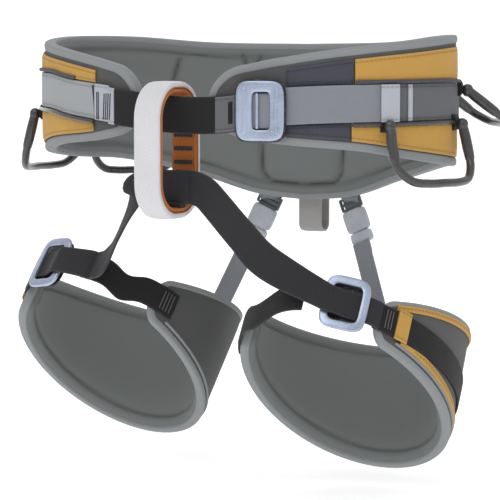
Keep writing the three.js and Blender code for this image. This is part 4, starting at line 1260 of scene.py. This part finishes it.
def risers():
    """On each side a sewn tab, a slotted glide, a two-part clip, and the elastic down to the leg."""
    for side in LEGS:
        angle = RISERS[side][0]
        edge, top, down, out, reach = riser_frame(side)

        def stand(grid, x, lift=0.0):
            return facing(grid + [x, 0, lift], top, down, out)

        tangent = np.cross([0, 0, 1], belt_normal(np.float64(angle)))
        line = on_belt(angle, np.linspace(edge + 14, edge - 3.2, 14), 2.9)
        line = np.r_[line, [top + out * 1.3, top + out * 1.9 + down * 1.5]]
        line = spline(line, 40)
        grid, gap = sweep(line, np.broadcast_to(out, line.shape), 15, 1.6, count=12)
        made = surface(f"{side}_riser_sewn_tab", grid, "grey", body=ROOT, marks={"edge": gap})
        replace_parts(made, f"{side}_riser_tab")
        row = np.linspace(-5.5, 5.5, 8)[:, None] * tangent
        rows = [row + on_belt(angle, edge + height, 3.9) for height in (4, 5, 11, 12)]
        bar_tack(f"{side}_riser_stitching", rows, "thread", ROOT, 0.35)

        glide = []
        for x in (-4.1, 0.0, 4.1):
            bar = stand(block((2.0, 19, 2.6), 4), x)
            glide.append(surface(f"{side}_glide_{len(glide)}", bar, "glide", body=ROOT))
        for y in (-8.6, 8.6):
            bar = stand(block((10.2, 1.9, 2.4), 4) + [0, y, 0], 0)
            glide.append(surface(f"{side}_glide_{len(glide)}", bar, "glide", body=ROOT))
        made = join(f"{side}_riser_triglide", glide)
        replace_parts(made, f"{side}_riser_glide")

        start, mouth = 5.35, 22.35
        grid = stand(block((17.4, 19.6, 7.4), 6), (start + mouth) / 2)
        shell = surface(f"{side}_clip_socket_body", grid, "clip", body=ROOT)
        window = ring_plate((11.5, 12.5, 5), (7.5, 8.5, 5), (0, 0), 1.2, count=72)
        trim = surface(f"{side}_clip_window", stand(window, 14.5, 3.7), "glide", round_u=True, body=ROOT)
        made = join(f"{side}_clip_socket", [shell, trim])
        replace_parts(made, f"{side}_riser_clip_socket")

        body = f"{side}_riser_plug"
        collar = surface(f"{side}_collar", stand(block((9.2, 18.4, 6.4), 5), 27.2), "clip", body=body)
        tongue = surface(f"{side}_tongue", stand(block((10, 13.6, 3.6), 6), 18.4), "clip", body=body)
        ridges = [
            surface(f"{side}_ridge_{k}", stand(block((0.9, 13, 1.0), 3), x, 3.1), "clip", body=body)
            for k, x in enumerate((25.4, 27.2, 29.0))
        ]
        made = join(f"{side}_clip_plug", [collar, tongue, *ridges])
        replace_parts(made, f"{side}_riser_clip_plug")

        x = np.linspace(31.4, reach + 5, 60)
        line = top + x[:, None] * down
        grid, gap = sweep(line, np.broadcast_to(out, line.shape), 15, 1.8 + 0.15 * np.sin(x * 1.4), count=12)
        made = surface(f"{side}_riser_elastic_tape", grid, "grey", marks={"edge": gap})
        tuple(line[4] * MM)
        tuple(line[-6] * MM)
        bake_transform(made)
        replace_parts(made, f"{side}_riser_elastic")
        folds = ((32.2, 40.5, 1.2, body), (-6.5, 6.4, 1.9, ROOT))
        for k, (from_x, to_x, lift, on) in enumerate(folds):
            line = top + np.linspace(from_x, to_x, 14)[:, None] * down + out * lift
            grid, gap = sweep(line, np.broadcast_to(out, line.shape), 14.6, 1.4, count=10)
            made = surface(f"{side}_riser_fold_{k}", grid, "grey", body=on, marks={"edge": gap})


# ------------------------------------------------------------------ stage


# Each lamp: azimuth and height in degrees, distance, size in metres, and power in watts.
LAMPS = (("key", 2, 52, 1.5, 1.2, 6.5), ("fill", 80, 25, 1.6, 1.4, 1.5), ("back", 205, 50, 1.7, 1.2, 4))
LIT_POINT = Vector((0, 0, -0.09))
AIMED_POINT = Vector((0, 0, -0.092))
LENS, CAMERA_ELEVATION, CAMERA_REACH, CAMERA_ASIDE = 166.1, 5, 1.65, 0.00286
PAPER_GREY, PAPER_GLOW = 0.92, 0.42
FLOOR_GAP = 0.012  # the floor lies this far below the harness


def direction(azimuth, height):
    """Unit vector away from the harness: azimuth from the front, height above level, in degrees."""
    a, e = math.radians(azimuth), math.radians(height)
    return Vector((math.sin(a) * math.cos(e), -math.cos(a) * math.cos(e), math.sin(e)))


def paper():
    """Matt white paper with a faint glow, so that the backdrop stays even."""
    maker = Finish("stage_paper", {"Emission Color": (1, 1, 1, 1), "Emission Strength": PAPER_GLOW})
    grey = [PAPER_GREY] * 3
    cloud = maker.noise(2.0, 3.0)
    base = maker.mix(cloud, shade(grey, 0.985), shade(grey, 1.0))
    return maker.use(base, cloud * 0.1 + 0.85, cloud, 0.0001)


def make_stage():
    """A pale floor that curves up into a backdrop, large soft lights, and the camera."""
    scene = bpy.context.scene
    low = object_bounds()[0]
    run = np.linspace(-3.0, 3.0, 40)
    bend = np.linspace(0, np.pi / 2, 16)
    y = np.r_[np.linspace(-3.5, 2.0, 20), 2.0 + 1.0 * np.sin(bend[1:]), np.full(12, 3.0)]
    z = np.r_[np.zeros(20), 1.0 - np.cos(bend[1:]), np.linspace(1.2, 4.0, 12)]
    grid = np.stack(np.broadcast_arrays(run[:, None], y, z + low.z - FLOOR_GAP), axis=-1)
    turn = math.radians(scene.harness_sizes.camera_azimuth)
    c, s = math.cos(turn), math.sin(turn)
    x, y = grid[..., 0].copy(), grid[..., 1].copy()
    grid[..., 0], grid[..., 1] = c * x - s * y, s * x + c * y
    mesh = bpy.data.meshes.new("stage_floor")
    rows, columns = grid.shape[:2]
    i, j = np.meshgrid(np.arange(rows - 1), np.arange(columns - 1), indexing="ij")
    quads = np.stack([(i + a) * columns + j + b for a, b in ((0, 0), (1, 0), (1, 1), (0, 1))], -1)
    mesh.from_pydata(grid.reshape(-1, 3).tolist(), [], quads.reshape(-1, 4).tolist())
    mesh.shade_smooth()
    floor = bpy.data.objects.new("stage_floor", mesh)
    scene.collection.objects.link(floor)
    mesh.materials.append(paper())
    floor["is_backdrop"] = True

    world = bpy.data.worlds.new("studio")
    scene.world = world
    world.use_nodes = True
    world.node_tree.nodes["Background"].inputs[0].default_value = (1, 1, 1, 1)
    world.node_tree.nodes["Background"].inputs[1].default_value = scene.harness_sizes.fill_light
    for name, azimuth, height, reach, size, power in LAMPS:
        lamp = bpy.data.lights.new(name, "AREA")
        lamp.size, lamp.energy = size, power
        made = bpy.data.objects.new(name, lamp)
        away = direction(azimuth, height)
        made.location = LIT_POINT + away * reach
        made.rotation_euler = (-away).to_track_quat("-Z", "Y").to_euler()
        scene.collection.objects.link(made)

    lens = bpy.data.cameras.new("camera")
    lens.lens = LENS
    camera = bpy.data.objects.new("camera", lens)
    azimuth = scene.harness_sizes.camera_azimuth
    camera.location = AIMED_POINT + direction(azimuth, CAMERA_ELEVATION) * CAMERA_REACH
    turn = math.radians(azimuth)
    right = Vector((math.cos(turn), math.sin(turn), 0))
    aim = AIMED_POINT + right * CAMERA_ASIDE - camera.location
    camera.rotation_euler = aim.to_track_quat("-Z", "Y").to_euler()
    scene.collection.objects.link(camera)
    scene.camera = camera
    scene.view_settings.view_transform = "Standard"


# ------------------------------------------------------------------ settings, operators and panel


def colour_setting(label, text, value):
    return bpy.props.FloatVectorProperty(
        name=label, description=text, subtype="COLOR", size=4, min=0, max=1, default=(*value, 1)
    )


def length_setting(label, text, value, least, most):
    return bpy.props.FloatProperty(
        name=label, description=text, subtype="DISTANCE", unit="LENGTH", default=value, min=least, max=most
    )


class HarnessColours(bpy.types.PropertyGroup):
    """Colours of the fabrics, webbings and fittings."""

    lining: colour_setting("Lining", "Brushed lining of the padding", (0.205, 0.218, 0.215))
    shell: colour_setting("Cover", "Plain outer cover", (0.115, 0.118, 0.116))
    binding: colour_setting("Edge tape", "Folded tape round every pad", (0.32, 0.335, 0.345))
    gold: colour_setting("Gold", "Hip panels and leg trims", (0.63, 0.36, 0.088))
    slate: colour_setting("Slate", "Panels in front of the gold ones", (0.075, 0.075, 0.098))
    pale: colour_setting("Pale panel", "Middle cover of the left hip", (0.40, 0.42, 0.44))
    band: colour_setting("Band", "Woven band behind the webbing", (0.16, 0.165, 0.18))
    tab: colour_setting("Tape tabs", "Tie-in tape and webbing keeper", (0.52, 0.54, 0.60))
    black: colour_setting("Black webbing", "Front and leg webbing", (0.019, 0.019, 0.02))
    strap: colour_setting("Strap", "Straps to the leg buckles", (0.03, 0.03, 0.035))
    white: colour_setting("Loop webbing", "Outer belay loop webbing", (0.80, 0.80, 0.83))
    orange: colour_setting("Wear tape", "Inner belay loop tape", (0.55, 0.17, 0.035))
    grey: colour_setting("Tail and risers", "Webbing tail and riser tape", (0.27, 0.285, 0.315))
    haul: colour_setting("Haul tape", "Rear loop's tape", (0.44, 0.43, 0.42))
    thread: colour_setting("Dark thread", "Bar tacks", (0.05, 0.05, 0.06))
    light_thread: colour_setting("Light thread", "Stitching on black webbing", (0.14, 0.14, 0.15))
    tube: colour_setting("Gear loops", "Moulded tubes and rails", (0.035, 0.033, 0.036))
    clip: colour_setting("Clips", "Riser clips", (0.42, 0.44, 0.48))
    glide: colour_setting("Glides", "Riser glides", (0.085, 0.10, 0.105))
    alloy: colour_setting("Buckle frames", "Anodised frames", (0.42, 0.48, 0.62))
    dark_alloy: colour_setting("Buckle plates", "Coated plates under the frames", (0.02, 0.022, 0.028))


class HarnessSizes(bpy.types.PropertyGroup):
    """Sizes of the soft parts, and the stage."""

    waist_padding: length_setting("Belt padding", "How far the belt's pad swells in", 0.0098, 0.004, 0.012)
    leg_padding: length_setting("Leg padding", "How far the leg pads swell in", 0.0088, 0.004, 0.011)
    panel_puff: length_setting("Panel puff", "How far the hip panels stand out", 0.0012, 0.0, 0.003)
    fill_light: bpy.props.FloatProperty(name="Fill", description="Strength of the even light", default=0.62)
    camera_azimuth: bpy.props.FloatProperty(
        name="Azimuth", description="Camera direction round the harness, degrees", default=28.0
    )


class HARNESS_OT_belt_padding(bpy.types.Operator):
    """Makes the padded lining of the waist belt"""

    bl_idname = "harness.belt_padding"
    bl_label = "Belt padding"

    def execute(self, context):
        waist_padding()
        return {"FINISHED"}


class HARNESS_OT_belt_fabric(bpy.types.Operator):
    """Makes the belt's cover, edge tape, band and panels"""

    bl_idname = "harness.belt_fabric"
    bl_label = "Belt fabric"

    def execute(self, context):
        waist_fabric()
        return {"FINISHED"}


class HARNESS_OT_belt_rails(bpy.types.Operator):
    """Makes the moulded rails and corded piping"""

    bl_idname = "harness.belt_rails"
    bl_label = "Rails and piping"

    def execute(self, context):
        waist_rails()
        return {"FINISHED"}


class HARNESS_OT_belt_webbing(bpy.types.Operator):
    """Makes the waist webbing, tab, tail and keeper"""

    bl_idname = "harness.belt_webbing"
    bl_label = "Belt webbing"

    def execute(self, context):
        waist_webbing()
        return {"FINISHED"}


class HARNESS_OT_belt_buckle(bpy.types.Operator):
    """Makes the waist buckle's plate, frame and bar"""

    bl_idname = "harness.belt_buckle"
    bl_label = "Belt buckle"

    def execute(self, context):
        waist_buckle()
        return {"FINISHED"}


class HARNESS_OT_belay_loop(bpy.types.Operator):
    """Makes the belay loop's layers and bar tacks"""

    bl_idname = "harness.belay_loop"
    bl_label = "Belay loop"

    def execute(self, context):
        belay_loop()
        return {"FINISHED"}


class HARNESS_OT_haul_loop(bpy.types.Operator):
    """Makes the rear loop and its anchor"""

    bl_idname = "harness.haul_loop"
    bl_label = "Haul loop"

    def execute(self, context):
        haul_loop()
        return {"FINISHED"}


class HARNESS_OT_gear_loops(bpy.types.Operator):
    """Makes the four gear loops and their tabs"""

    bl_idname = "harness.gear_loops"
    bl_label = "Gear loops"

    def execute(self, context):
        gear_loops()
        return {"FINISHED"}


class HARNESS_OT_leg_padding(bpy.types.Operator):
    """Makes the padded linings of the leg loops"""

    bl_idname = "harness.leg_padding"
    bl_label = "Leg padding"

    def execute(self, context):
        leg_padding()
        return {"FINISHED"}


class HARNESS_OT_leg_fabric(bpy.types.Operator):
    """Makes the leg loops' covers, tapes and trims"""

    bl_idname = "harness.leg_fabric"
    bl_label = "Leg fabric"

    def execute(self, context):
        leg_fabric()
        return {"FINISHED"}


class HARNESS_OT_leg_straps(bpy.types.Operator):
    """Makes the straps from the belay loop to the legs"""

    bl_idname = "harness.leg_straps"
    bl_label = "Leg straps"

    def execute(self, context):
        leg_straps()
        return {"FINISHED"}


class HARNESS_OT_leg_buckles(bpy.types.Operator):
    """Makes the leg buckles' plates and frames"""

    bl_idname = "harness.leg_buckles"
    bl_label = "Leg buckles"

    def execute(self, context):
        leg_buckles()
        return {"FINISHED"}


class HARNESS_OT_risers(bpy.types.Operator):
    """Makes the rear risers, their clips and elastics"""

    bl_idname = "harness.risers"
    bl_label = "Risers"

    def execute(self, context):
        risers()
        return {"FINISHED"}


class HARNESS_OT_stage(bpy.types.Operator):
    """Makes the floor, lights and camera"""

    bl_idname = "harness.stage"
    bl_label = "Stage"

    def execute(self, context):
        make_stage()
        return {"FINISHED"}


OPERATORS = [
    HARNESS_OT_belt_padding,
    HARNESS_OT_belt_fabric,
    HARNESS_OT_belt_rails,
    HARNESS_OT_belt_webbing,
    HARNESS_OT_belt_buckle,
    HARNESS_OT_belay_loop,
    HARNESS_OT_haul_loop,
    HARNESS_OT_gear_loops,
    HARNESS_OT_leg_padding,
    HARNESS_OT_leg_fabric,
    HARNESS_OT_leg_straps,
    HARNESS_OT_leg_buckles,
    HARNESS_OT_risers,
    HARNESS_OT_stage,
]


class HARNESS_PT_parts(bpy.types.Panel):
    """Lists what can be made, and its sizes and colours."""

    bl_label = "Harness"
    bl_space_type = "VIEW_3D"
    bl_region_type = "UI"
    bl_category = "Harness"

    def draw(self, context):
        for group in (context.scene.harness_sizes, context.scene.harness_colours):
            for key in group.bl_rna.properties.keys():
                if key not in ("rna_type", "name"):
                    self.layout.prop(group, key)
        for operator in OPERATORS:
            self.layout.operator(operator.bl_idname)


CLASSES = [HarnessColours, HarnessSizes, *OPERATORS, HARNESS_PT_parts]


def register():
    for kind in CLASSES:
        bpy.utils.register_class(kind)
    bpy.types.Scene.harness_colours = bpy.props.PointerProperty(type=HarnessColours)
    bpy.types.Scene.harness_sizes = bpy.props.PointerProperty(type=HarnessSizes)


def unregister():
    del bpy.types.Scene.harness_colours
    del bpy.types.Scene.harness_sizes
    for kind in reversed(CLASSES):
        bpy.utils.unregister_class(kind)


def main():
    register()
    for operator in OPERATORS:
        getattr(bpy.ops.harness, operator.bl_idname.split(".")[1])()
    boxes = {"cad": FRAME_BOX, "visual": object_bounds()}
    {name: [list(corner) for corner in box] for name, box in boxes.items()}


if __name__ == "__main__":
    main()
